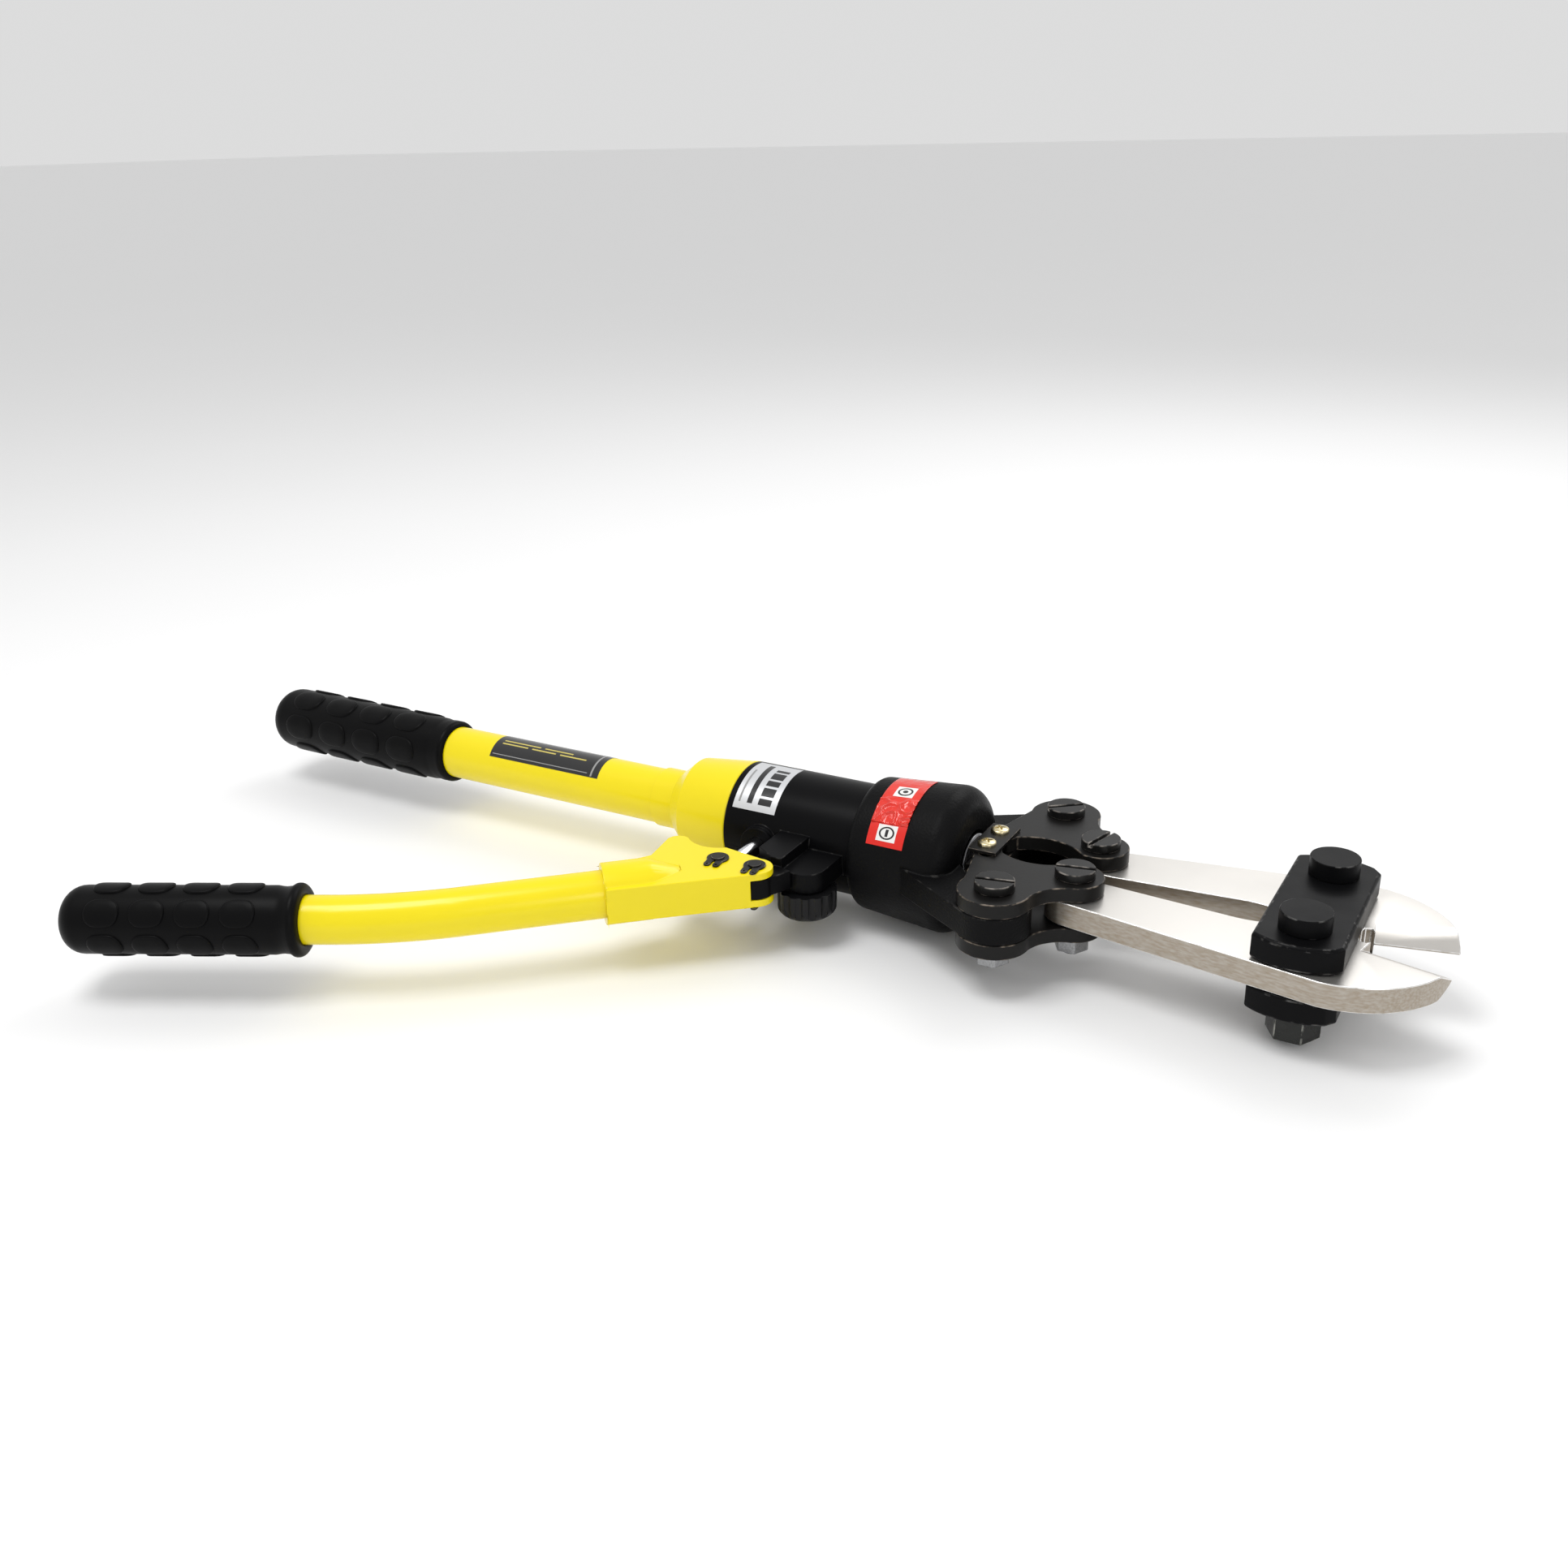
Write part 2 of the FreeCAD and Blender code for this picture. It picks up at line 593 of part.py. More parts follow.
def build_release_valve():
    """The fluted release knob under the pump block, with its needle spindle."""
    top = -size["block_bottom"] - 0.5
    low = top - size["knob_height"]
    round_over = size["knob_round"]
    body = doc.addObject("PartDesign::Body", "knob_body")
    sketch = sketch_on(body, "knob_profile", "XZ_Plane")
    add_outline(sketch, (
        Point(0, low),
        (Point(size["knob_radius"] - round_over, low), round_over),
        Point(size["knob_radius"], low + round_over),
        Point(size["knob_radius"], top),
        Point(0, top),
    ))
    revolution = body.newObject("PartDesign::Revolution", "knob_turned")
    revolution.Profile = sketch
    revolution.ReferenceAxis = (sketch, ["V_Axis"])
    revolution.Angle = 360.0
    doc.recompute()
    flute_sketch = sketch_on(body, "knob_flute", "XY_Plane", low)
    add_circle(flute_sketch, Point(size["knob_radius"] + size["knob_flute"] * 0.55, 0),
               size["knob_flute"])
    pocket = body.newObject("PartDesign::Pocket", "knob_flute_cut")
    pocket.Profile = flute_sketch
    pocket.Reversed = True
    bind(pocket, Length=size["knob_height"])
    pattern = body.newObject("PartDesign::PolarPattern", "knob_flutes")
    pattern.Originals = [pocket]
    pattern.Axis = (flute_sketch, ["N_Axis"])
    pattern.Angle = 360.0
    pattern.Occurrences = 14
    body.Tip = pattern
    place(body, knob_centre.x, knob_centre.y, 0)
    finish(body, "release_knob")
    finish(cylinder("spindle", size["spindle_radius"], size["block_bottom"],
                    knob_centre.x, knob_centre.y, top), "release_spindle")


# ---------------------------------------------------------------- fork head

def build_fork_head():
    """The cast head: a coned barrel end with two flat ears for the cranks."""
    rear_round = size["fork_rear_round"]
    front_round = size["fork_front_round"]
    rod_hole = size["rod_radius"] + 0.7
    guide_hole = size["cylinder_radius"] - 0.5
    shell = turned("fork_barrel", (
        Point(barrel_front, size["spigot_radius"]),
        (Point(barrel_front, size["fork_rear_radius"] - rear_round), -rear_round),
        Point(barrel_front + rear_round, size["fork_rear_radius"]),
        (Point(fork_face - front_round, size["fork_front_radius"]), -front_round),
        Point(fork_face, size["fork_front_radius"] - front_round),
        Point(fork_face, rod_hole),
        Point(guide_front, rod_hole),
        Point(guide_front, guide_hole),
        Point(spigot_front, guide_hole),
        Point(spigot_front, size["spigot_radius"]),
    ))
    parts = [shell]
    holes = []
    for name, side in (("near", -1), ("far", 1)):
        centre = Point(0, size["ear_pin_y"])
        outer_touch = centre.toward(90 + size["ear_web_angle"], size["ear_radius"])
        inner_touch = centre.toward(180 + size["ear_inner_angle"], size["ear_radius"])
        web = plate(f"{name}_web", [corner.flipped(side) for corner in (
            outer_touch,
            inner_touch,
            Point(fork_face - 4, inner_touch.y - (inner_touch.x - fork_face + 4)),
            Point(fork_face - 16, size["cylinder_radius"] + 2),
            outer_touch.toward(180 + size["ear_web_angle"], size["ear_web_length"]),
        )], -ear_half, ear_half * 2)
        parts.append(web)
        parts.append(cylinder(f"{name}_ear", size["ear_radius"], ear_half * 2,
                              0, size["ear_pin_y"] * side, -ear_half))
        holes.append(cylinder(f"{name}_ear_hole", size["bolt_radius"], ear_half * 2,
                              0, size["ear_pin_y"] * side, -ear_half))
    holes.append(cylinder("rod_room", rod_hole, size["guide_length"] + size["ear_radius"],
                          spigot_front, 0, 0, "X"))
    holes.append(cylinder("guide_room", guide_hole, size["guide_length"],
                          spigot_front, 0, 0, "X"))
    holes.append(cylinder("spigot_room", size["spigot_radius"], size["front_spigot"],
                          barrel_front, 0, 0, "X"))
    finish(cut("fork_head_solid", fuse("fork_whole", *parts), *holes), "fork_head")
    finish(ring("guide_bush", guide_hole, size["rod_radius"] + gap,
                size["guide_length"] - size["seal_width"], spigot_front, 0, 0, "X"),
           "ram_guide_bush")
    finish(ring("rod_wiper", guide_hole, size["rod_radius"] + gap, size["seal_width"],
                guide_front - size["seal_width"], 0, 0, "X"), "cylinder_seal")


# ---------------------------------------------------------------- fasteners

def slotted_bolt(name, turn):
    """A shouldered bolt with a slotted head, standing on the top crank plate."""
    head_low = crank_top + face_gap
    head = cylinder(f"{name}_head", size["bolt_head_radius"], size["bolt_head_height"],
                    0, 0, head_low)
    shank = cylinder(f"{name}_shank", size["bolt_radius"], head_low * 2, 0, 0, -head_low)
    tail_length = size["small_nut_height"] + size["bolt_tail"]
    tail = cylinder(f"{name}_tail", size["bolt_thread"], tail_length,
                    0, 0, -head_low - tail_length)
    slot = block(f"{name}_slot", size["bolt_head_radius"] * 2.2, size["bolt_slot_width"],
                 size["bolt_slot_depth"], -size["bolt_head_radius"] * 1.1,
                 -size["bolt_slot_width"] / 2,
                 head_low + size["bolt_head_height"] - size["bolt_slot_depth"])
    bolt = cut(name, fuse(f"{name}_whole", head, shank, tail), slot)
    bolt.Placement = FreeCAD.Placement(
        FreeCAD.Vector(), FreeCAD.Rotation(FreeCAD.Vector(0, 0, 1), turn))
    return bolt


def small_nut(name):
    outside = hexagon(f"{name}_hex", size["small_nut_flats"], size["small_nut_height"],
                      0, 0, -crank_top - face_gap - size["small_nut_height"])
    hole = cylinder(f"{name}_hole", size["bolt_thread"], size["small_nut_height"],
                    0, 0, -crank_top - face_gap - size["small_nut_height"])
    return cut(name, outside, hole)


def build_ear_fasteners():
    turns = {"near": 12.0, "far": 38.0}
    bolts = []
    nuts = []
    for name, side in (("near", -1), ("far", 1)):
        bolts.append(place_kept(slotted_bolt(f"{name}_ear_bolt", turns[name]),
                                0, size["ear_pin_y"] * side))
        nuts.append(place_kept(small_nut(f"{name}_ear_nut"), 0, size["ear_pin_y"] * side))
    finish(group("ear_bolt_pair", *bolts), "ear_bolts")
    finish(group("ear_nut_pair", *nuts), "ear_nuts")


def place_kept(piece, x, y):
    """Binds a piece's place in the plane and keeps its turn."""
    piece.setExpression("Placement.Base.x", as_size(x).text)
    piece.setExpression("Placement.Base.y", as_size(y).text)
    return piece


# ---------------------------------------------------------------- cranks

def crank_outline(side):
    """The plate from ear lobe to front lobe, with a slotted finger to the yoke pin."""
    ear = Point(0, -size["ear_pin_y"])
    front = Point(size["front_pin_x"], -size["front_pin_y"])
    reach_x = -size["yoke_pin_setback"]
    reach_y = size["ear_pin_y"] - size["yoke_pin_y"]
    length = root(reach_x * reach_x + reach_y * reach_y)
    finger = Point(reach_x / length, reach_y / length)
    across = Point(finger.y, -finger.x)
    half = size["finger_half"]
    slot = size["slot_half"]
    tip = size["finger_reach"]
    corner = size["finger_corner"]
    slot_end = tip - size["slot_depth"] + slot
    ear_radius = size["ear_radius"]
    front_radius = size["crank_front_radius"]

    def on_finger(distance, offset):
        return ear.along(finger, distance).along(across, offset)

    corners = (
        (ear.toward(0, ear_radius), -size["crank_outer_flank"]),
        (front.toward(-76, front_radius), front_radius),
        (front.toward(0, front_radius), front_radius),
        (front.toward(111, front_radius), -size["crank_inner_flank"]),
        (on_finger(tip - 6, half), None),
        (on_finger(tip - corner, half), corner),
        (on_finger(tip, half - corner), None),
        (on_finger(tip, slot), None),
        (on_finger(slot_end, slot), -slot),
        (on_finger(slot_end - slot, 0), -slot),
        (on_finger(slot_end, -slot), None),
        (on_finger(tip, -slot), None),
        (on_finger(tip, corner - half), corner),
        (on_finger(tip - corner, -half), None),
        (on_finger(tip - 8.3, -half), None),
        (ear.toward(167, ear_radius), ear_radius),
        (ear.toward(270, ear_radius), ear_radius),
    )
    flipped = -side
    return [(spot.flipped(flipped), radius * flipped if radius is not None else None)
            for spot, radius in corners]


def build_crank(name, side, turn):
    """Two crank plates on one ear, with the bolt and nut of their front pin."""
    ear_hole = (Point(0, size["ear_pin_y"] * side), size["bolt_radius"] + gap)
    front_hole = (Point(size["front_pin_x"], size["front_pin_y"] * side), size["bolt_radius"])
    for level, low in (("top", crank_low), ("bottom", -crank_top)):
        body = plate(f"{name}_{level}_plate", crank_outline(side), low, size["crank_thick"],
                     (ear_hole, front_hole))
        finish(body, f"{name}_crank_{level}_plate")
    front = Point(size["front_pin_x"], size["front_pin_y"] * side)
    bolt = place_kept(slotted_bolt(f"{name}_front_bolt", turn), front.x, front.y)
    finish(bolt, f"{name}_crank_bolt")
    nut = place_kept(small_nut(f"{name}_front_nut"), front.x, front.y)
    finish(nut, f"{name}_crank_nut")


# ---------------------------------------------------------------- blades

def blade_tail(side):
    """The rear pin as the closed blade sees it, from its own pivot."""
    back = size["front_pin_x"] - size["pivot_x"]
    out = size["pivot_y"] - size["front_pin_y"]
    open_angle = size["jaw_open_angle"]
    along = back * cosine(open_angle) - out * sine(open_angle)
    inward = back * sine(open_angle) + out * cosine(open_angle)
    return Point(along, inward)


def build_blade(name, side, tail_play):
    """One blade, drawn closed about its pivot with the cutting edge inward."""
    tail = blade_tail(side)
    tail_radius = size["blade_tail_radius"]
    edge = size["edge_offset"]
    start = size["edge_start"]
    corners = (
        (tail.toward(-90, tail_radius), None),
        (Point(size["blade_heel"], -size["blade_back"]), size["blade_round"]),
        (Point(size["edge_end"], edge), None),
        (Point(start, edge), None),
        (Point(start - 1.2, edge - 2.3), None),
        (Point(start - 3.7, edge - 2.3), None),
        (Point(start - 4.9, edge), None),
        (Point(0, edge), as_size(23)),
        (Point(-12.9, edge - 4.2), as_size(-36)),
        (Point(-33, edge - 14.7), None),
        (Point(tail.x + 7, tail.y + tail_radius + 2.1), None),
        (tail.toward(97, tail_radius), tail_radius),
        (tail.toward(180, tail_radius), tail_radius),
    )
    mirrored = -side
    outline = [(corner.flipped(mirrored), radius * mirrored if radius is not None else None)
               for corner, radius in corners]
    holes = (
        (Point(0, 0), size["pivot_bolt_radius"] + gap),
        (tail.flipped(mirrored), size["bolt_radius"] + gap + tail_play),
    )
    half = size["blade_half"]
    body = plate(f"{name}_blade_body", outline, -half, half * 2, holes)
    doc.recompute()
    bevel = sketch_on(body, f"{name}_bevel", "YZ_Plane", start)
    for level in (1, -1):
        add_outline(bevel, [Point(corner.x * mirrored, corner.y * level) for corner in (
            Point(edge - size["bevel_depth"], half),
            Point(edge, size["edge_land"]),
            Point(edge + 2, size["edge_land"]),
            Point(edge + 2, half + 1),
            Point(edge - size["bevel_depth"], half + 1),
        )])
    pocket = body.newObject("PartDesign::Pocket", f"{name}_bevel_cut")
    pocket.Profile = bevel
    pocket.Reversed = True
    bind(pocket, Length=size["edge_end"])
    body.Tip = pocket
    turn = FreeCAD.Rotation(FreeCAD.Vector(0, 0, 1), size["jaw_open_angle"].value * side)
    place(body, size["pivot_x"], size["pivot_y"] * side, 0, turn)
    finish(body, f"{name}_blade")


def build_strap():
    """The two link plates that hold the blade pivots together, and their bolts."""
    half_width = size["strap_half_width"]
    half_length = size["strap_half_length"]
    corner = size["strap_corner"]
    rear = size["pivot_x"] - half_width
    front = size["pivot_x"] + half_width
    outline = (
        (Point(rear, -half_length), size["strap_end_round"]),
        (Point(front - corner, -half_length - 1), None),
        (Point(front, -half_length + corner), None),
        (Point(front, half_length - corner), None),
        (Point(front - corner, half_length + 1), size["strap_end_round"]),
        (Point(rear, half_length), None),
    )
    holes = [(Point(size["pivot_x"], size["pivot_y"] * side), size["pivot_bolt_radius"])
             for side in (-1, 1)]
    for level, low in (("top", strap_low), ("bottom", -strap_top)):
        body = plate(f"{level}_link_body", outline, low, size["strap_thick"], holes)
        break_edges(body, size["edge_break"] * 2)
        finish(body, f"{level}_link_plate")
    bolts = []
    nuts = []
    nut_low = -strap_top - size["big_nut_height"]
    for name, side in (("near", -1), ("far", 1)):
        x = size["pivot_x"]
        y = size["pivot_y"] * side
        head = cylinder(f"{name}_pivot_head", size["pivot_head_radius"],
                        size["pivot_head_height"], x, y, strap_top)
        shank = cylinder(f"{name}_pivot_shank", size["pivot_bolt_radius"],
                         strap_top - nut_low - 1, x, y, nut_low + 1)
        bolts.append(fuse(f"{name}_pivot_bolt", head, shank))
        outside = hexagon(f"{name}_pivot_hex", size["big_nut_flats"], size["big_nut_height"],
                          x, y, nut_low)
        hole = cylinder(f"{name}_pivot_thread", size["pivot_bolt_radius"],
                        size["big_nut_height"], x, y, nut_low)
        nuts.append(cut(f"{name}_pivot_nut", outside, hole))
    finish(group("pivot_bolt_pair", *bolts), "pivot_bolts")
    finish(group("pivot_nut_pair", *nuts), "pivot_nuts")


# ---------------------------------------------------------------- ram

def build_ram():
    """Piston and rod in one piece, its seal, and the yoke that drives the cranks."""
    rear = cylinder_end + 2
    piston_front = rear + size["piston_length"]
    piston_radius = size["cylinder_radius"] - gap
    groove = piston_front - 4 - size["seal_width"]
    ram = turned("ram_body", (
        Point(rear, 0),
        Point(rear, piston_radius),
        Point(groove, piston_radius),
        Point(groove, piston_radius - 2.5),
        Point(groove + size["seal_width"], piston_radius - 2.5),
        Point(groove + size["seal_width"], piston_radius),
        Point(piston_front, piston_radius),
        Point(piston_front, size["rod_radius"]),
        Point(rod_front - 1, size["rod_radius"]),
        Point(rod_front, size["rod_radius"] - 1),
        Point(rod_front, 0),
    ))
    finish(ram, "ram_piston")
    finish(ring("piston_ring", piston_radius, piston_radius - 2.5, size["seal_width"],
                groove, 0, 0, "X"), "piston_seal")


def build_yoke():
    """The flat yoke on the ram's end, its two pins and the plates that hold them."""
    half = ear_half - face_gap
    length = yoke_front - rod_front
    width = size["yoke_half_width"]
    tongue = block("yoke_block", length, width * 2, half * 2, rod_front, -width, -half)
    pin_x = -size["yoke_pin_setback"]
    holes = []
    pins = []
    screws = []
    covers = {"top": [], "bottom": []}
    cover_low = crank_top + 0.2
    for name, side in (("near", -1), ("far", 1)):
        y = size["yoke_pin_y"] * side
        holes.append(cylinder(f"{name}_yoke_hole", size["yoke_pin_radius"], half * 2,
                              pin_x, y, -half))
        pin = cylinder(f"{name}_yoke_shank", size["yoke_pin_radius"], cover_low * 2,
                       pin_x, y, -cover_low)
        thread = cylinder(f"{name}_yoke_thread", size["screw_radius"], cover_low * 2,
                          pin_x, y, -cover_low)
        pins.append(cut(f"{name}_yoke_pin", pin, thread))
        for level, sign in (("top", 1), ("bottom", -1)):
            shank_z = cover_low - 8 if sign > 0 else -cover_low - size["cover_thick"]
            shank = cylinder(f"{name}_{level}_screw_shank", size["screw_radius"],
                             8 + size["cover_thick"], pin_x, y, shank_z)
            head_low = cover_low + size["cover_thick"]
            head_z = head_low if sign > 0 else -head_low - 2
            head = cylinder(f"{name}_{level}_screw_head", size["screw_head_radius"], 2,
                            pin_x, y, head_z)
            screws.append(fuse(f"{name}_{level}_screw", head, shank))
            covers[level].append(cylinder(f"{name}_{level}_cover_hole", size["screw_radius"],
                                          size["cover_thick"], pin_x, y,
                                          cover_low if sign > 0 else -head_low))
    finish(cut("yoke_solid", tongue, *holes), "yoke")
    finish(group("yoke_pin_pair", *pins), "yoke_pins")
    finish(group("retaining_screw_set", *screws), "retaining_screws")
    for level, sign in (("top", 1), ("bottom", -1)):
        z = cover_low if sign > 0 else -cover_low - size["cover_thick"]
        sheet_metal = block(f"{level}_cover", yoke_front - rod_front - 1.6,
                            size["cover_half_width"] * 2, size["cover_thick"],
                            rod_front + 1.6, -size["cover_half_width"], z)
        finish(cut(f"{level}_cover_solid", sheet_metal, *covers[level]),
               f"retaining_plate_{level}")


def build_return_spring():
    """The coil round the ram rod that brings the piston back."""
    piston_front = cylinder_end + 2 + size["piston_length"]
    mean = (size["cylinder_radius"].value + size["rod_radius"].value) / 2
    wire = (size["cylinder_radius"].value - size["rod_radius"].value) / 2 - 0.35
    first = piston_front.value + wire
    last = spigot_front.value - wire
    turns = 5
    path = Part.makeHelix((last - first) / turns, last - first, mean)
    start = Part.Wire([Part.makeCircle(wire, FreeCAD.Vector(mean, 0, 0),
                                       FreeCAD.Vector(0, 1, 0))])
    coil = Part.Wire(path).makePipeShell([start], True, True)
    spring = doc.addObject("Part::Feature", "return_spring_coil")
    spring.Shape = coil
    spring.Placement = FreeCAD.Placement(FreeCAD.Vector(first, 0, 0), TURNS["X"])
    spring.setExpression("Placement.Base.x", f"{first:.4f}")
    finish(spring, "return_spring")


# ---------------------------------------------------------------- handle

def build_handle():
    """Neck, handle tube with its oil bladder and end plug, and the rubber grip."""
    radius = size["barrel_radius"]
    inner = size["tube_radius"] - size["tube_wall"]
    neck = turned("neck_body", (
        Point(barrel_rear, size["spigot_radius"]),
        Point(barrel_rear, radius - 0.6),
        Point(barrel_rear - 0.6, radius),
        (Point(neck_small_end + size["neck_shoulder"], radius - size["neck_taper"]), None),
        (Point(neck_small_end, size["neck_small_radius"]), None),
        Point(neck_small_end, size["collar_radius"]),
        Point(collar_rear, size["collar_radius"]),
        Point(collar_rear, size["tube_radius"]),
        Point(tube_front, size["tube_radius"]),
        Point(tube_front, inner),
        Point(spigot_rear, inner),
        Point(spigot_rear, size["spigot_radius"]),
    ))
    finish(neck, "reservoir_neck")
    tube = turned("tube_body", (
        Point(tube_front, inner),
        Point(tube_front, size["tube_radius"]),
        Point(tube_rear, size["tube_radius"]),
        Point(tube_rear, inner),
    ))
    finish(tube, "handle_tube")
    bladder = size["bladder_radius"]
    wall = size["bladder_wall"]
    bladder_rear = tube_rear + 150
    finish(turned("bladder_body", (
        Point(tube_front + 8, bladder - wall),
        Point(tube_front + 8, bladder),
        (Point(bladder_rear + bladder, bladder), bladder),
        Point(bladder_rear, 0),
        Point(bladder_rear + wall, 0),
        (Point(bladder_rear + bladder, bladder - wall), None),
    )), "oil_bladder")
    finish(cylinder("end_plug", inner, 14, tube_rear, 0, 0, "X"), "tube_end_plug")
    grip_front = tube_rear - size["grip_cap"] + size["grip_length"]
    finish(grip_body("handle_grip_body", grip_front, tube_rear, size["grip_radius"],
                     size["grip_flange"], size["tube_radius"]), "handle_grip")


def grip_body(name, front, tube_end, outer, flange, inner):
    """A closed rubber sleeve with a rounded end, turned about X."""
    end = tube_end - size["grip_cap"]
    return turned(name, (
        Point(front, inner),
        Point(front, flange),
        Point(front - 2.5, flange),
        Point(front - 5, outer),
        (Point(end + 7, outer), as_size(7)),
        Point(end, outer - 7),
        Point(end, 0),
        Point(tube_end, 0),
        Point(tube_end, inner),
    ))


# ---------------------------------------------------------------- lever

def aim(piece, start, angle):
    """Turns a piece drawn along Z to lie in the plane at an angle to X."""
    heading = FreeCAD.Vector(math.cos(math.radians(angle.value)),
                             math.sin(math.radians(angle.value)), 0)
    piece.Placement = FreeCAD.Placement(
        FreeCAD.Vector(), FreeCAD.Rotation(FreeCAD.Vector(0, 0, 1), heading))
    piece.setExpression("Placement.Base.x", start.x.text)
    piece.setExpression("Placement.Base.y", start.y.text)
    return piece


def rod(name, radius, length, start, angle):
    piece = doc.addObject("Part::Cylinder", name)
    bind(piece, Radius=radius, Height=length)
    return aim(piece, start, angle)


def build_lever_fork():
    """The yellow channel that carries the lever tube: cheeks, side wall and socket."""
    half = size["cheek_half"]
    nose = size["nose_radius"]
    uphill = size["lever_angle"]
    up = Point(cosine(uphill), sine(uphill))
    across = up.left()
    mouth_half = root(size["socket_radius"] * size["socket_radius"] - half * half)
    wall_end = socket_mouth.along(across, -size["socket_radius"] + 0.3)
    wall = Point(-cosine(size["fork_wall_angle"]), -sine(size["fork_wall_angle"]))
    outward = wall.left()
    hump = Point(fulcrum.x - 45, fulcrum.y + 7)
    cheeks = plate("fork_cheeks", (
        fulcrum.along(outward, nose),
        wall_end,
        socket_mouth.along(across, -mouth_half).along(up, 1),
        socket_mouth.along(across, mouth_half).along(up, 1),
        Point(hump.x - 1.5, hump.y - 18),
        (Point(hump.x - 4.5, hump.y), as_size(-5.5)),
        (Point(hump.x + 4, hump.y + 4.4), as_size(15)),
        (Point(fulcrum.x - 21, fulcrum.y + 10.8), None),
        (fulcrum.toward(97, nose), -nose),
        (fulcrum.toward(25, nose), -nose),
    ), -half, half * 2)
    barrel = rod("fork_socket", size["socket_radius"], 20, socket_mouth, uphill)
    throat = doc.addObject("Part::Cone", "fork_throat")
    bind(throat, Radius1=size["socket_radius"], Radius2=half + 0.2, Height=14)
    aim(throat, socket_mouth.along(up, 20), uphill)
    inner = fulcrum.along(outward, nose - size["fork_wall"])
    opening = plate("fork_opening", (
        inner.along(wall, -20),
        inner.along(wall, 34),
        Point(hump.x + 4, hump.y - 15),
        Point(hump.x + 4, hump.y + 20),
        Point(fulcrum.x + 20, hump.y + 20),
    ), -size["cheek_gap_half"], size["cheek_gap_half"] * 2)
    lug_room = cylinder("lug_room", size["lug_radius"] + 0.6, size["cheek_gap_half"] * 2,
                        fulcrum.x, fulcrum.y, -size["cheek_gap_half"])
    bore = rod("socket_bore", size["lever_tube_radius"], size["socket_depth"],
               socket_mouth, uphill)
    holes = [cylinder(f"fork_hole_{name}", size["pin_radius"], half * 2, at.x, at.y, -half)
             for name, at in (("fulcrum", fulcrum), ("plunger", plunger_pin))]
    finish(cut("fork_solid", fuse("fork_casting", cheeks, barrel, throat),
               opening, lug_room, bore, *holes), "lever_fork")


def bent_tube(name, radius):
    """The lever tube's centre line as a straight, a bend and a straight."""
    uphill = size["lever_angle"]
    up = Point(cosine(uphill), sine(uphill))
    inside = socket_mouth.along(up, size["socket_depth"])
    bend_start = socket_mouth.along(up, -size["lever_straight"])
    centre = bend_start.along(up.left(), size["lever_bend_radius"])
    final = uphill - size["lever_bend"]
    bend_end = centre.along(Point(cosine(final), sine(final)).left(),
                            -size["lever_bend_radius"])
    first = rod(f"{name}_first", radius, size["socket_depth"] + size["lever_straight"],
                bend_start, uphill)
    bend = doc.addObject("Part::Torus", f"{name}_bend")
    bind(bend, Radius1=size["lever_bend_radius"], Radius2=radius, Angle3=size["lever_bend"])
    bend.Placement = FreeCAD.Placement(FreeCAD.Vector(), FreeCAD.Rotation(
        FreeCAD.Vector(0, 0, 1), final.value - 90))
    place_kept(bend, centre.x, centre.y)
    tail = bend_end.along(Point(cosine(final), sine(final)), -size["lever_tail"])
    last = rod(f"{name}_last", radius, size["lever_tail"], tail, final)
    return fuse(f"{name}_whole", first, bend, last), tail, final


def build_lever():
    """The lever tube, its grip, the two pins and their circlips."""
    outside, tail, final = bent_tube("lever_outside", size["lever_tube_radius"])
    inside, _, _ = bent_tube("lever_inside", size["lever_tube_radius"] - size["lever_tube_wall"])
    finish(cut("lever_tube_solid", outside, inside), "lever_tube")
    front = size["lever_grip_length"] - size["grip_cap"]
    grip = grip_body("lever_grip_body", front, as_size(0), size["lever_grip_radius"],
                     size["lever_grip_radius"], size["lever_tube_radius"])
    grip.Placement = FreeCAD.Placement(FreeCAD.Vector(), FreeCAD.Rotation(
        FreeCAD.Vector(0, 0, 1), final.value))
    finish(place_kept(grip, tail.x, tail.y), "lever_grip")
    for name, at in (("fulcrum", fulcrum), ("plunger", plunger_pin)):
        finish(cylinder(f"{name}_pin_solid", size["pin_radius"], size["pin_half"] * 2,
                        at.x, at.y, -size["pin_half"]), f"{name}_pin")
    clips = [circlip(f"{name}_{level}_circlip", at, low)
             for name, at in (("fulcrum", fulcrum), ("plunger", plunger_pin))
             for level, low in (("top", size["cheek_half"]),
                                ("bottom", -size["cheek_half"] - size["circlip_thick"]))]
    finish(group("circlip_set", *clips), "circlips")


def circlip(name, at, low):
    """An open ring with two plier ears."""
    thick = size["circlip_thick"]
    ear = size["circlip_ear"]
    spread = ear + 0.6
    reach = size["circlip_radius"] + ear + 0.7
    band = cylinder(f"{name}_band", size["circlip_radius"], thick, 0, 0, low)
    web = block(f"{name}_web", (spread + ear) * 2, reach, thick, -spread - ear, -reach, low)
    tips = []
    eyes = []
    for side in (-1, 1):
        tips.append(cylinder(f"{name}_ear{side + 1}", ear, thick, spread * side, -reach, low))
        eyes.append(cylinder(f"{name}_eye{side + 1}", ear * 0.4, thick, spread * side, -reach, low))
    pin = cylinder(f"{name}_pin_hole", size["pin_radius"], thick, 0, 0, low)
    split = block(f"{name}_split", 1.2, reach + ear * 2, thick, -0.6, -reach - ear * 2, low)
    clip = cut(name, fuse(f"{name}_whole", band, web, *tips), pin, split, *eyes)
    clip.Placement = FreeCAD.Placement(FreeCAD.Vector(), FreeCAD.Rotation(
        FreeCAD.Vector(0, 0, 1), 8))
    return place_kept(clip, at.x, at.y)


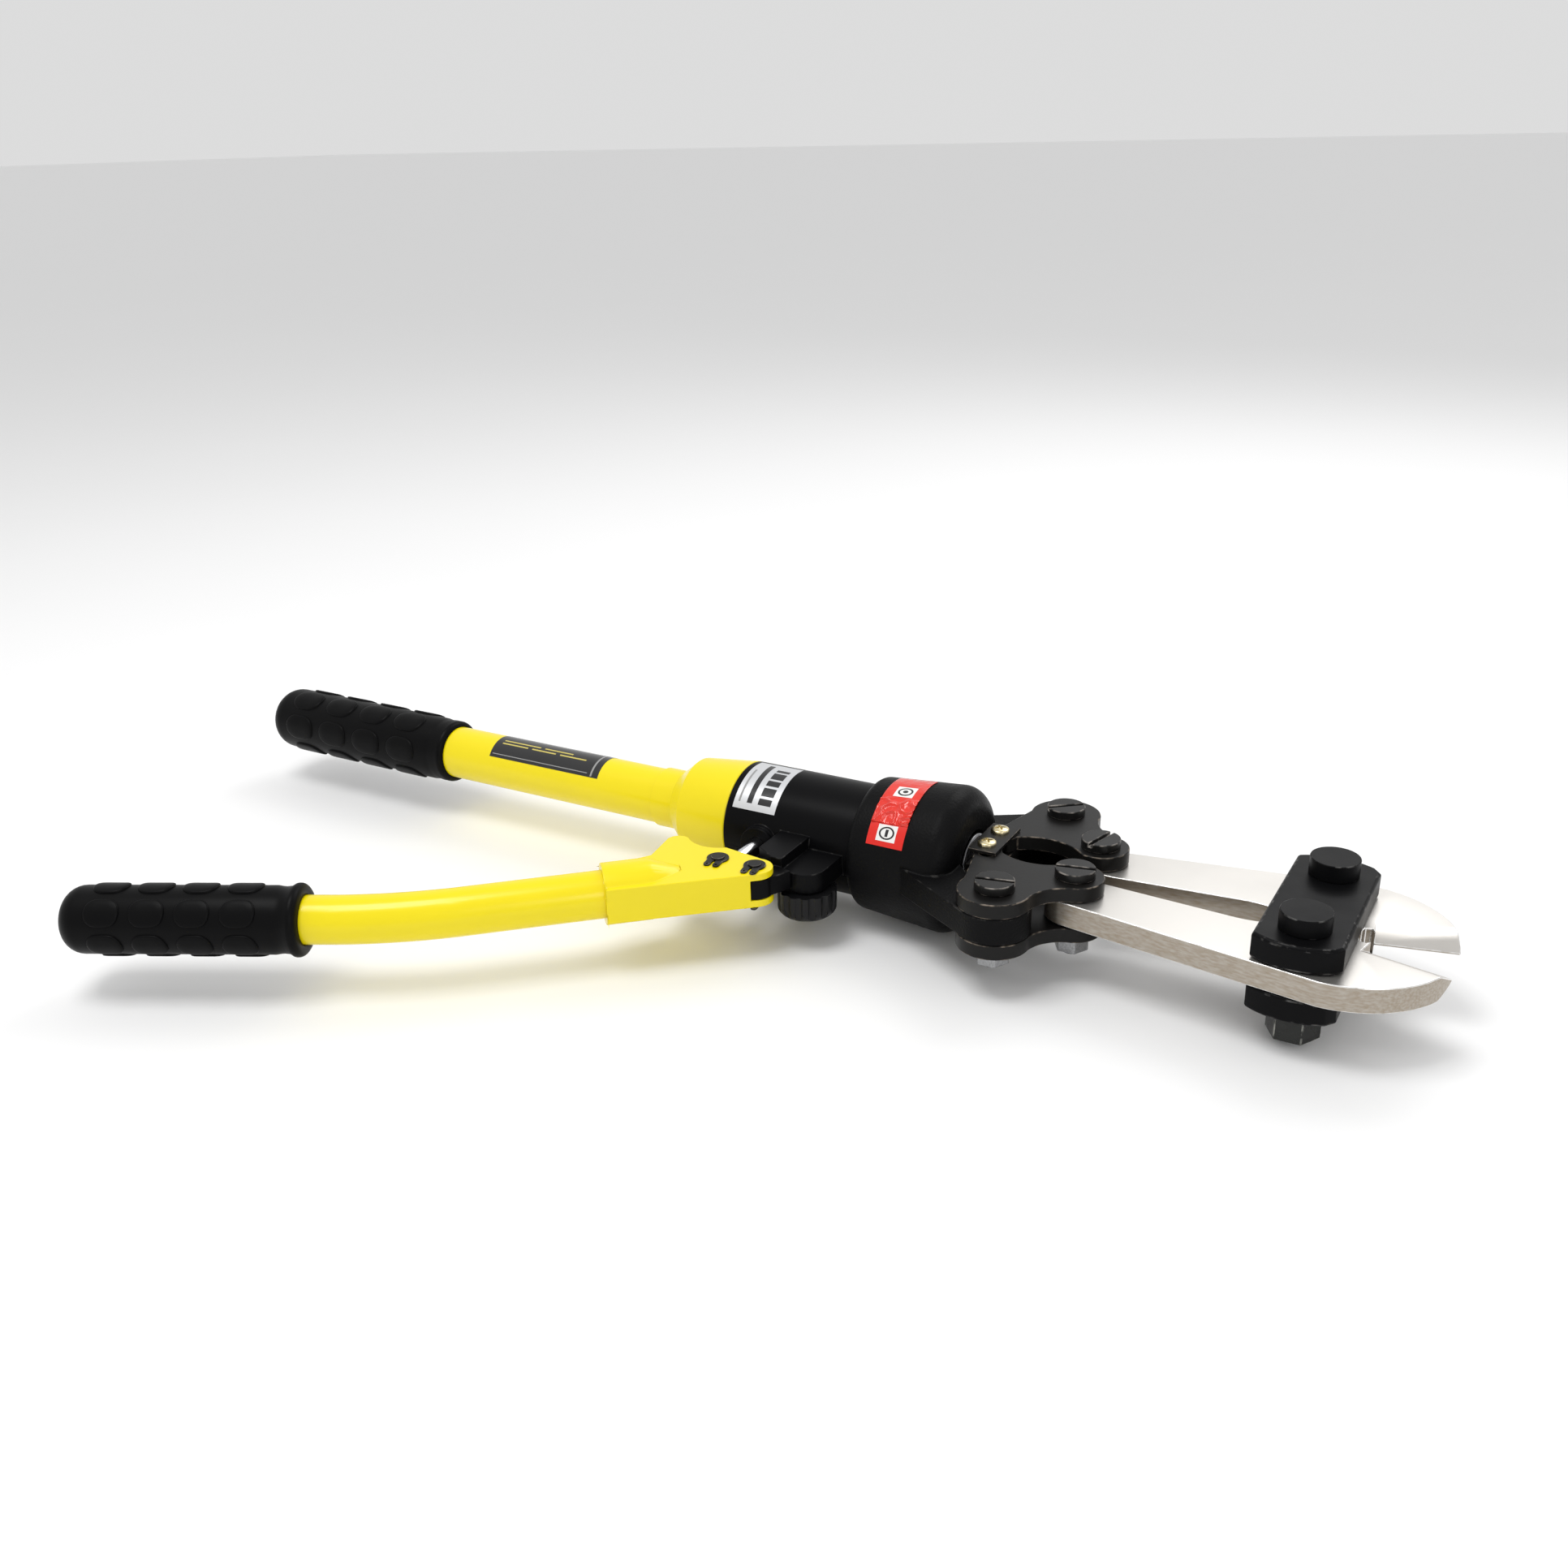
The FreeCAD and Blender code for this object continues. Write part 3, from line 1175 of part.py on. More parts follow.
def build_plunger():
    """The chromed pump plunger, with a slotted flat eye for the lever's pin."""
    radius = size["plunger_radius"]
    eye_half = size["plunger_eye_half"]
    eye = size["plunger_eye"]
    hole = size["pin_radius"] + size["eye_play"]
    front = plunger_x + size["eye_travel"]
    shank = cylinder("plunger_shank", radius,
                     plunger_pin_y - size["plunger_rest"] - hole - 1,
                     plunger_x, plunger_pin.y + hole + 1, 0, "Y")
    blank = cylinder("plunger_eye_blank", eye, eye_half * 2,
                     plunger_x + size["eye_travel"] / 2, plunger_pin.y, -eye_half)
    slot = plate("plunger_slot", (
        Point(plunger_x, plunger_pin.y - hole),
        (Point(front, plunger_pin.y - hole), hole),
        (Point(front + hole, plunger_pin.y), hole),
        Point(front, plunger_pin.y + hole),
        (Point(plunger_x, plunger_pin.y + hole), hole),
        (Point(plunger_x - hole, plunger_pin.y), hole),
    ), -eye_half - 1, eye_half * 2 + 2)
    finish(cut("plunger_solid", fuse("plunger_whole", shank, blank), slot), "pump_plunger")


build_pump_body()
build_pump_details()
build_release_valve()
build_fork_head()
build_ear_fasteners()
build_crank("near", -1, 12.0)
build_crank("far", 1, 75.0)
build_blade("near", -1, 0)
build_blade("far", 1, size["open_pivot_play"])
build_strap()
build_ram()
build_yoke()
build_return_spring()
build_handle()
build_lever_fork()
build_lever()
build_plunger()

doc.recompute()
for item in doc.Objects:
    faults = [state for state in item.State if state in ("Invalid", "Error")]
    if faults:
        raise RuntimeError(f"{item.Name} is {faults}")
os.makedirs("parts", exist_ok=True)
for label, piece in nodes.items():
    if piece.Shape.isNull() or not piece.Shape.isValid():
        raise RuntimeError(f"{label} has no valid shape")
    piece.Shape.exportStep(f"parts/{label}.step")
    box = piece.Shape.BoundBox
    print(label, len(piece.Shape.Solids), round(piece.Shape.Volume / 1000, 2),
          [round(v, 1) for v in (box.XMin, box.XMax, box.YMin, box.YMax, box.ZMin, box.ZMax)])
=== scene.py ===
"""Looks of the hand-pumped hydraulic rebar cutter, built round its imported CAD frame."""

import json
import logging
import math
from dataclasses import dataclass, field
from enum import Enum

import bmesh
import bpy
import numpy as np
from mathutils import Matrix, Vector, noise

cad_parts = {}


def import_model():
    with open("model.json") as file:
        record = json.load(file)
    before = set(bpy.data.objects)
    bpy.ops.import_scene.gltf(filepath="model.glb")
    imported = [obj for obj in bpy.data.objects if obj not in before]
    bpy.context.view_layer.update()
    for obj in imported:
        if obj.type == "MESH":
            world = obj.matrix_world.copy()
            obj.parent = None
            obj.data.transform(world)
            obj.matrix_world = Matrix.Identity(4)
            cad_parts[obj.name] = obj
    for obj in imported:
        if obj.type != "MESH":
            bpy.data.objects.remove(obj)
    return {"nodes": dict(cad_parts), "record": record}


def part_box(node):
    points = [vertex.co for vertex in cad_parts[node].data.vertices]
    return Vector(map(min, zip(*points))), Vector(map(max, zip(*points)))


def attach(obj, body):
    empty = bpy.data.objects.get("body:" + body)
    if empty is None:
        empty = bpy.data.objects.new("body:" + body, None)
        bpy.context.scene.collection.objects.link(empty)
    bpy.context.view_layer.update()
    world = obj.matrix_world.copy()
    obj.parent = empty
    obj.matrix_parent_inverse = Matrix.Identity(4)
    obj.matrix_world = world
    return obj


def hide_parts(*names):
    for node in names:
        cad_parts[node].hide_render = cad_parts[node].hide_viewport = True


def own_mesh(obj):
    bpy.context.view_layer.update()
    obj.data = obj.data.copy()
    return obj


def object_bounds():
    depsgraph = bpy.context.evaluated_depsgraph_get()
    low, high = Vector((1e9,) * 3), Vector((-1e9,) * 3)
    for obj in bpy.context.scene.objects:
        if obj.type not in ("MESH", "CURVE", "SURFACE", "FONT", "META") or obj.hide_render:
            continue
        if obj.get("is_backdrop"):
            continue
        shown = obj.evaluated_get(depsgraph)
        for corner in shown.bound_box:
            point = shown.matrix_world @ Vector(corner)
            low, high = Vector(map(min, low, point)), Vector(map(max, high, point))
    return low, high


LOG = logging.getLogger("rebar_cutter")
MM = 0.001
EDGE_MASK = "edge_mask"
# Mesh attribute for the painted side shade on upright faces.
UPRIGHT_SHADE_MASK = "side_mask"
WELD_DISTANCE = 2e-6
FLAT_FOLD = math.radians(0.6)
EDGE_FOLD = math.radians(28)
SHARP_FOLD = math.radians(50)
POLE_RADIUS = 1e-7
WHOLE = (0, 1)


class Side(Enum):
    """The two halves of the linkage."""

    NEAR = "near"
    FAR = "far"


# Shader helpers


class Nodes:
    """A short way to add and join the nodes of one tree."""

    def __init__(self, tree: bpy.types.NodeTree) -> None:
        """Keeps the tree that the nodes are added to."""
        self.tree = tree

    def add(self, kind: str, **settings: object) -> bpy.types.Node:
        """Adds a node.

        Args:
            kind: Blender's name of the node type.
            settings: Node properties by name.

        Returns:
            The new node.
        """
        node = self.tree.nodes.new(kind)
        for name, value in settings.items():
            setattr(node, name, value)
        return node

    def join(self, source: bpy.types.NodeSocket, target: bpy.types.NodeSocket) -> None:
        """Links one output to one input."""
        self.tree.links.new(source, target)

    def feed(self, target: bpy.types.NodeSocket, value: object) -> None:
        """Gives an input its value, or links it if the value is a socket."""
        if isinstance(value, bpy.types.NodeSocket):
            self.join(value, target)
        else:
            target.default_value = value

    def math(self, operation: str, first: object, second: object) -> bpy.types.NodeSocket:
        """Adds a maths node.

        Args:
            operation: Blender's name of the operation.
            first: A socket or a number.
            second: A socket or a number.

        Returns:
            The node's output.
        """
        node = self.add("ShaderNodeMath", operation=operation)
        self.feed(node.inputs[0], first)
        self.feed(node.inputs[1], second)
        return node.outputs[0]

    def mix(self, factor: bpy.types.NodeSocket, first: object,
            second: object) -> bpy.types.NodeSocket:
        """Mixes two colours.

        Args:
            factor: The mask.
            first: Colour or socket where the mask is 0.
            second: Colour or socket where the mask is 1.

        Returns:
            The mixed colour.
        """
        node = self.add("ShaderNodeMix", data_type="RGBA")
        self.join(factor, node.inputs[0])
        self.feed(node.inputs[6], first)
        self.feed(node.inputs[7], second)
        return node.outputs[2]


def new_group(name: str, inputs: dict[str, float],
              outputs: dict[str, str]) -> tuple[bpy.types.NodeTree, Nodes, bpy.types.Node,
                                                bpy.types.Node]:
    """Starts a shader node group.

    Args:
        name: The group's name.
        inputs: Number inputs with their defaults.
        outputs: Output names with their socket types.

    Returns:
        The tree, its Nodes helper, the input node and the output node.
    """
    tree = bpy.data.node_groups.new(name, "ShaderNodeTree")
    for label, value in inputs.items():
        socket = tree.interface.new_socket(label, in_out="INPUT", socket_type="NodeSocketFloat")
        socket.default_value = value
    for label, kind in outputs.items():
        tree.interface.new_socket(label, in_out="OUTPUT", socket_type=kind)
    nodes = Nodes(tree)
    return tree, nodes, nodes.add("NodeGroupInput"), nodes.add("NodeGroupOutput")


def grain_group() -> bpy.types.NodeTree:
    """Builds the shared grain: a height and a soft patch mask in object space.

    Returns:
        The group, with outputs Height and Patches.
    """
    tree, nodes, entry, leave = new_group(
        "surface_grain", {"Fine Scale": 900.0, "Patch Scale": 60.0, "Stretch": 1.0},
        {"Height": "NodeSocketFloat", "Patches": "NodeSocketFloat"})
    place = nodes.add("ShaderNodeTexCoord")
    stretch = nodes.add("ShaderNodeCombineXYZ")
    nodes.join(entry.outputs["Stretch"], stretch.inputs[0])
    stretch.inputs[1].default_value = 1.0
    stretch.inputs[2].default_value = 1.0
    scaled = nodes.add("ShaderNodeVectorMath", operation="MULTIPLY")
    nodes.join(place.outputs["Object"], scaled.inputs[0])
    nodes.join(stretch.outputs[0], scaled.inputs[1])
    fine = nodes.add("ShaderNodeTexNoise")
    fine.inputs["Detail"].default_value = 4.0
    nodes.join(scaled.outputs[0], fine.inputs["Vector"])
    nodes.join(entry.outputs["Fine Scale"], fine.inputs["Scale"])
    broad = nodes.add("ShaderNodeTexNoise")
    broad.inputs["Detail"].default_value = 3.0
    nodes.join(place.outputs["Object"], broad.inputs["Vector"])
    nodes.join(entry.outputs["Patch Scale"], broad.inputs["Scale"])
    nodes.join(fine.outputs["Fac"], leave.inputs["Height"])
    nodes.join(broad.outputs["Fac"], leave.inputs["Patches"])
    return tree


def wear_group() -> bpy.types.NodeTree:
    """Builds the shared edge wear: the mesh's edge mask, broken into patches.

    Returns:
        The group, with output Wear.
    """
    tree, nodes, entry, leave = new_group(
        "edge_wear", {"Amount": 0.5, "Break Up": 240.0}, {"Wear": "NodeSocketFloat"})
    edge = nodes.add("ShaderNodeAttribute", attribute_name=EDGE_MASK)
    place = nodes.add("ShaderNodeTexCoord")
    speckle = nodes.add("ShaderNodeTexNoise")
    speckle.inputs["Detail"].default_value = 5.0
    nodes.join(place.outputs["Object"], speckle.inputs["Vector"])
    nodes.join(entry.outputs["Break Up"], speckle.inputs["Scale"])
    threshold, contrast = 0.75, 5.0
    level = nodes.math("ADD", speckle.outputs["Fac"], entry.outputs["Amount"])
    sharp = nodes.math("MULTIPLY", nodes.math("SUBTRACT", level, threshold), contrast)
    held = nodes.math("MINIMUM", nodes.math("MAXIMUM", sharp, 0.0), 1.0)
    nodes.join(nodes.math("MULTIPLY", held, edge.outputs["Fac"]), leave.inputs["Wear"])
    return tree


@dataclass(frozen=True)
class Finish:
    """One surface finish: its colours, gloss, grain, worn edges and painted side shade."""

    name: str
    color: tuple[float, float, float]
    rough: float = 0.4
    metal: float = 0.0
    coat: float = 0.0
    coat_rough: float = 0.12
    shade: float = 0.8
    rough_spread: float = 0.12
    fine_scale: float = 900.0
    patch_scale: float = 60.0
    stretch: float = 1.0
    relief: float = 0.1
    depth: float = 0.05 * MM
    worn: tuple[float, float, float] | None = None
    worn_amount: float = 0.4
    worn_rough: float = 0.35
    specular: float = 0.5
    # Colour of upright faces, through the upright shade mask: painted shade on the sides, and on
    # the blades a brown grinding stain as well.
    side_shade_and_tint: tuple[float, float, float] | None = None
    flank_grain: float = 0.9
    flank_base: float = 0.2

    def build(self, grain: bpy.types.NodeTree, wear: bpy.types.NodeTree) -> bpy.types.Material:
        """Makes the material.

        Args:
            grain: The shared grain group.
            wear: The shared edge wear group.

        Returns:
            The finished material.
        """
        material = bpy.data.materials.new(self.name)
        material.use_nodes = True
        nodes = Nodes(material.node_tree)
        shader = material.node_tree.nodes["Principled BSDF"]
        shader.inputs["Metallic"].default_value = self.metal
        shader.inputs["Coat Weight"].default_value = self.coat
        shader.inputs["Coat Roughness"].default_value = self.coat_rough
        shader.inputs["Specular IOR Level"].default_value = self.specular
        surface = nodes.add("ShaderNodeGroup", node_tree=grain)
        surface.inputs["Fine Scale"].default_value = self.fine_scale
        surface.inputs["Patch Scale"].default_value = self.patch_scale
        surface.inputs["Stretch"].default_value = self.stretch
        light = (*self.color, 1.0)
        dark = (*(channel * self.shade for channel in self.color), 1.0)
        color = nodes.mix(surface.outputs["Patches"], dark, light)
        # Painted side shade: upright faces are mixed towards the side colour, with grain through
        # it.
        if self.side_shade_and_tint is not None:
            side = nodes.add("ShaderNodeAttribute", attribute_name=UPRIGHT_SHADE_MASK)
            grainy = nodes.math("MULTIPLY", surface.outputs["Height"], self.flank_grain)
            side_shade_level = nodes.math("ADD", grainy, self.flank_base)
            level = nodes.math("MINIMUM", nodes.math("MULTIPLY", side_shade_level, side.outputs["Fac"]), 1.0)
            color = nodes.mix(level, color, (*self.side_shade_and_tint, 1.0))
        spread = nodes.math("MULTIPLY", surface.outputs["Patches"], self.rough_spread * 2)
        rough = nodes.math("ADD", spread, self.rough - self.rough_spread)
        if self.worn is not None:
            worn = nodes.add("ShaderNodeGroup", node_tree=wear)
            worn.inputs["Amount"].default_value = self.worn_amount
            color = nodes.mix(worn.outputs["Wear"], color, (*self.worn, 1.0))
            step = nodes.math("MULTIPLY", worn.outputs["Wear"], self.worn_rough - self.rough)
            rough = nodes.math("ADD", rough, step)
        nodes.join(color, shader.inputs["Base Color"])
        nodes.join(rough, shader.inputs["Roughness"])
        bump = nodes.add("ShaderNodeBump")
        bump.inputs["Strength"].default_value = self.relief
        bump.inputs["Distance"].default_value = self.depth
        nodes.join(surface.outputs["Height"], bump.inputs["Height"])
        nodes.join(bump.outputs["Normal"], shader.inputs["Normal"])
        return material


class Surface(Enum):
    """The finishes of the tool, each under its material slot's name."""

    YELLOW_PAINT = Finish("yellow_paint", (0.87, 0.71, 0.001), 0.25, coat=0.15, shade=0.95,
                          rough_spread=0.05, fine_scale=420, patch_scale=25, relief=0.12,
                          worn=(0.6, 0.5, 0.02), worn_amount=0.1, specular=0.35)
    SATIN_BLACK = Finish("satin_black", (0.0035, 0.0035, 0.004), 0.33, shade=0.7,
                         rough_spread=0.09, fine_scale=1500, patch_scale=35, relief=0.18,
                         worn=(0.05, 0.048, 0.046), worn_amount=0.2, specular=0.07)
    CAST_BLACK = Finish("cast_black", (0.005, 0.005, 0.0053), 0.42, shade=0.6, fine_scale=950,
                        patch_scale=90, relief=0.8, depth=0.22 * MM,
                        worn=(0.05, 0.048, 0.045), worn_amount=0.2, specular=0.07)
    BLACK_PLATE = Finish("black_plate", (0.0095, 0.009, 0.0085), 0.36, metal=0.15, shade=0.5,
                         fine_scale=700, patch_scale=70, relief=0.25, depth=0.08 * MM,
                         worn=(0.2, 0.165, 0.13), worn_amount=0.3, worn_rough=0.3,
                         specular=0.2)
    LINK_STEEL = Finish("link_steel", (0.005, 0.005, 0.0055), 0.38, metal=0.1, shade=0.6,
                        fine_scale=800, patch_scale=60, relief=0.22, depth=0.07 * MM,
                        worn=(0.1, 0.098, 0.095), worn_amount=0.24, worn_rough=0.3,
                        specular=0.07)
    BOLT_STEEL = Finish("bolt_steel", (0.012, 0.0115, 0.011), 0.34, metal=0.2, shade=0.6,
                        fine_scale=1500, patch_scale=120, relief=0.15,
                        worn=(0.22, 0.2, 0.18), worn_amount=0.3, worn_rough=0.28,
                        specular=0.25)
    # Blades: the brown side colour is grinding stain and also painted shade, darker sides under
    # lighter tops.
    BLADE_STEEL = Finish("blade_steel", (0.62, 0.6, 0.57), 0.34, metal=0.85, shade=0.88,
                         rough_spread=0.08, fine_scale=1100, patch_scale=45, stretch=0.2,
                         relief=0.3, depth=0.05 * MM, worn=(0.86, 0.85, 0.83),
                         worn_amount=0.45, worn_rough=0.24, side_shade_and_tint=(0.28, 0.22, 0.15))
    # Pivot nuts: chrome nuts given a near-black colour, a painted reflection of dark surroundings.
    DARK_NUT = Finish("dark_nut", (0.03, 0.031, 0.029), 0.28, metal=0.55, shade=0.6,
                      fine_scale=1400, patch_scale=180, relief=0.12, worn=(0.3, 0.3, 0.27),
                      worn_amount=0.32)
    # Zinc nuts: the grey side colour is painted shade, darkening the hex flats against the tops.
    ZINC_NUT = Finish("zinc_nut", (0.6, 0.61, 0.63), 0.24, metal=1.0, shade=0.8,
                      fine_scale=1400, patch_scale=180, relief=0.12, side_shade_and_tint=(0.2, 0.2, 0.2))
    CHROME = Finish("chrome", (0.8, 0.81, 0.83), 0.1, metal=1.0, shade=0.95, rough_spread=0.04,
                    fine_scale=2500, relief=0.03)
    YELLOW_ZINC = Finish("yellow_zinc", (0.78, 0.68, 0.42), 0.28, metal=1.0, shade=0.8,
                         fine_scale=1500, patch_scale=260, relief=0.12)
    GRIP_RUBBER = Finish("grip_rubber", (0.0035, 0.0035, 0.0037), 0.38, shade=0.8,
                         rough_spread=0.07, fine_scale=2600, patch_scale=70, relief=0.35,
                         specular=0.07)
    SEAL_RUBBER = Finish("seal_rubber", (0.012, 0.012, 0.012), 0.45, fine_scale=2000)
    BRONZE = Finish("bronze", (0.55, 0.34, 0.14), 0.35, metal=1.0, fine_scale=1200)
    SPRING_STEEL = Finish("spring_steel", (0.3, 0.3, 0.31), 0.3, metal=1.0, fine_scale=1600)
    KNOB_BLACK = Finish("knob_black", (0.006, 0.006, 0.0065), 0.3, fine_scale=1800, relief=0.15,
                        specular=0.2)
    LABEL_SILVER = Finish("label_silver", (0.72, 0.73, 0.75), 0.3, metal=0.5, shade=0.9,
                          fine_scale=1600, patch_scale=40, stretch=0.1, relief=0.06)
    LABEL_RED = Finish("label_red", (0.74, 0.012, 0.004), 0.3, shade=0.85, rough_spread=0.05,
                       fine_scale=160, patch_scale=110, relief=0.1)
    LABEL_FILM = Finish("label_film", (0.84, 0.018, 0.003), 0.16, coat=0.45, shade=0.7,
                        rough_spread=0.05, fine_scale=170, patch_scale=120, relief=1.0,
                        depth=0.9 * MM)
    LABEL_BLACK = Finish("label_black", (0.006, 0.006, 0.007), 0.22, coat=0.4,
                         rough_spread=0.05, fine_scale=300, relief=0.1)
    LABEL_GREY = Finish("label_grey", (0.3, 0.3, 0.3), 0.35, shade=0.9, relief=0.05)
    LABEL_WHITE = Finish("label_white", (0.82, 0.82, 0.8), 0.35, shade=0.95, relief=0.05)
    LABEL_YELLOW = Finish("label_yellow", (0.6, 0.5, 0.12), 0.35, shade=0.92, relief=0.05)
    FLOOR = Finish("floor", (0.9, 0.9, 0.9), 0.7, shade=0.99, fine_scale=40, patch_scale=3,
                   relief=0.02, specular=0.2)


class Paintbox:
    """Holds each finish's material once it has been built."""

    def __init__(self) -> None:
        """Builds the shared groups; materials follow when first asked for."""
        self.grain = grain_group()
        self.wear = wear_group()
        self.made: dict[Surface, bpy.types.Material] = {}

    def of(self, surface: Surface) -> bpy.types.Material:
        """Returns the material of a finish, building it the first time."""
        if surface not in self.made:
            self.made[surface] = surface.value.build(self.grain, self.wear)
        return self.made[surface]

    def dress(self, piece: bpy.types.Object, *surfaces: Surface) -> None:
        """Gives a piece its materials, in the order of its slots."""
        slots = piece.data.materials
        for order, surface in enumerate(surfaces):
            if order < len(slots):
                slots[order] = self.of(surface)
            else:
                slots.append(self.of(surface))


# Mesh helpers


def new_piece(name: str, data: bpy.types.ID) -> bpy.types.Object:
    """Puts a mesh, light or camera into the scene.

    Args:
        name: The object's name.
        data: Its mesh, light or camera.

    Returns:
        The new object, at the origin.
    """
    piece = bpy.data.objects.new(name, data)
    bpy.context.scene.collection.objects.link(piece)
    return piece


def mesh_from(name: str, shape: bmesh.types.BMesh) -> bpy.types.Mesh:
    """Turns a bmesh into a mesh and frees it."""
    mesh = bpy.data.meshes.new(name)
    shape.to_mesh(mesh)
    shape.free()
    return mesh


def lathe(profile: list[tuple[float, float]], turns: int) -> bmesh.types.BMesh:
    """Turns an open outline about the X axis.

    Args:
        profile: Stations of distance along X and radius, in metres.
        turns: Faces round the axis.

    Returns:
        The turned surface, closed where the outline starts on the axis.
    """
    shape = bmesh.new()
    rings = []
    for x, radius in profile:
        if radius < POLE_RADIUS:
            rings.append([shape.verts.new((x, 0, 0))])
            continue
        angles = [2 * math.pi * step / turns for step in range(turns)]
        rings.append([shape.verts.new((x, radius * math.cos(a), radius * math.sin(a)))
                      for a in angles])
    for first, second in zip(rings, rings[1:]):
        for step in range(turns):
            after = (step + 1) % turns
            if len(first) == 1:
                corners = (first[0], second[after], second[step])
            else:
                corners = (first[step], first[after], second[after], second[step])
            shape.faces.new(corners)
    bmesh.ops.recalc_face_normals(shape, faces=shape.faces)
    for face in shape.faces:
        face.smooth = True
    return shape


def round_corner(x: float, radius: float, size: float, start: float, sweep: float,
                 steps: int) -> list[tuple[float, float]]:
    """Points of a rounded corner in a turned outline.

    Args:
        x: Centre of the rounding along X.
        radius: Centre of the rounding from the axis.
        size: Radius of the rounding.
        start: First angle in degrees.
        sweep: Turn in degrees.
        steps: Spans of the arc.

    Returns:
        The points, first to last.
    """
    angles = [math.radians(start + sweep * step / steps) for step in range(steps + 1)]
    return [(x + size * math.cos(a), radius + size * math.sin(a)) for a in angles]


def soften(node: bpy.types.Object, name: str, width: float,
           segments: int = 2) -> bpy.types.Object:
    """Copies a CAD node with its sharp edges broken, and marks the broken edges.

    Args:
        node: The CAD node's object.
        name: The new piece's name.
        width: Width of the broken edge in metres.
        segments: Faces across the broken edge.

    Returns:
        The new piece. Its edge mask is 1 on the broken edges, and its upright shade mask,
        which carries the painted side shade, is 1 on upright faces.
    """
    shape = bmesh.new()
    shape.from_mesh(node.data)
    bmesh.ops.remove_doubles(shape, verts=shape.verts, dist=WELD_DISTANCE)
    bmesh.ops.dissolve_limit(shape, angle_limit=FLAT_FOLD, verts=shape.verts,
                             edges=shape.edges)
    edges = [edge for edge in shape.edges
             if len(edge.link_faces) == 2 and edge.calc_face_angle(0.0) > EDGE_FOLD]
    mask = shape.loops.layers.float.new(EDGE_MASK)
    made = bmesh.ops.bevel(shape, geom=edges, offset=width, offset_type="OFFSET",
                           segments=segments, profile=0.5, affect="EDGES",
                           clamp_overlap=False, loop_slide=True)
    broken = set(made["faces"])
    # Upright shade mask: 1 on upright faces, where the side colour paints shade.
    side = shape.loops.layers.float.new(UPRIGHT_SHADE_MASK)
    for face in shape.faces:
        face.smooth = True
        face.material_index = 0
        for loop in face.loops:
            loop[mask] = float(face in broken)
            loop[side] = 1.0 - abs(face.normal.z)
    mesh = mesh_from(name, shape)
    mesh.set_sharp_from_angle(angle=SHARP_FOLD)
    piece = new_piece(name, mesh)
    normals = piece.modifiers.new("even_normals", "WEIGHTED_NORMAL")
    normals.keep_sharp = True
    return piece


def axis_of(node: bpy.types.Object) -> tuple[Vector, Vector]:
    """Finds the ends of a long CAD node's own axis.

    Args:
        node: The CAD node's object.

    Returns:
        The axis' ends, the one with the lower X first.
    """
    points = np.array([vertex.co for vertex in node.data.vertices], float)
    middle = points.mean(0)
    directions = np.linalg.svd(points - middle, full_matrices=False)[2]
    axis = directions[0] if directions[0][0] > 0 else -directions[0]
    along = (points - middle) @ axis
    cross = (points - middle) - np.outer(along, axis)
    centre = middle + (cross.max(0) + cross.min(0)) / 2
    return Vector(centre + axis * along.min()), Vector(centre + axis * along.max())


# Grips


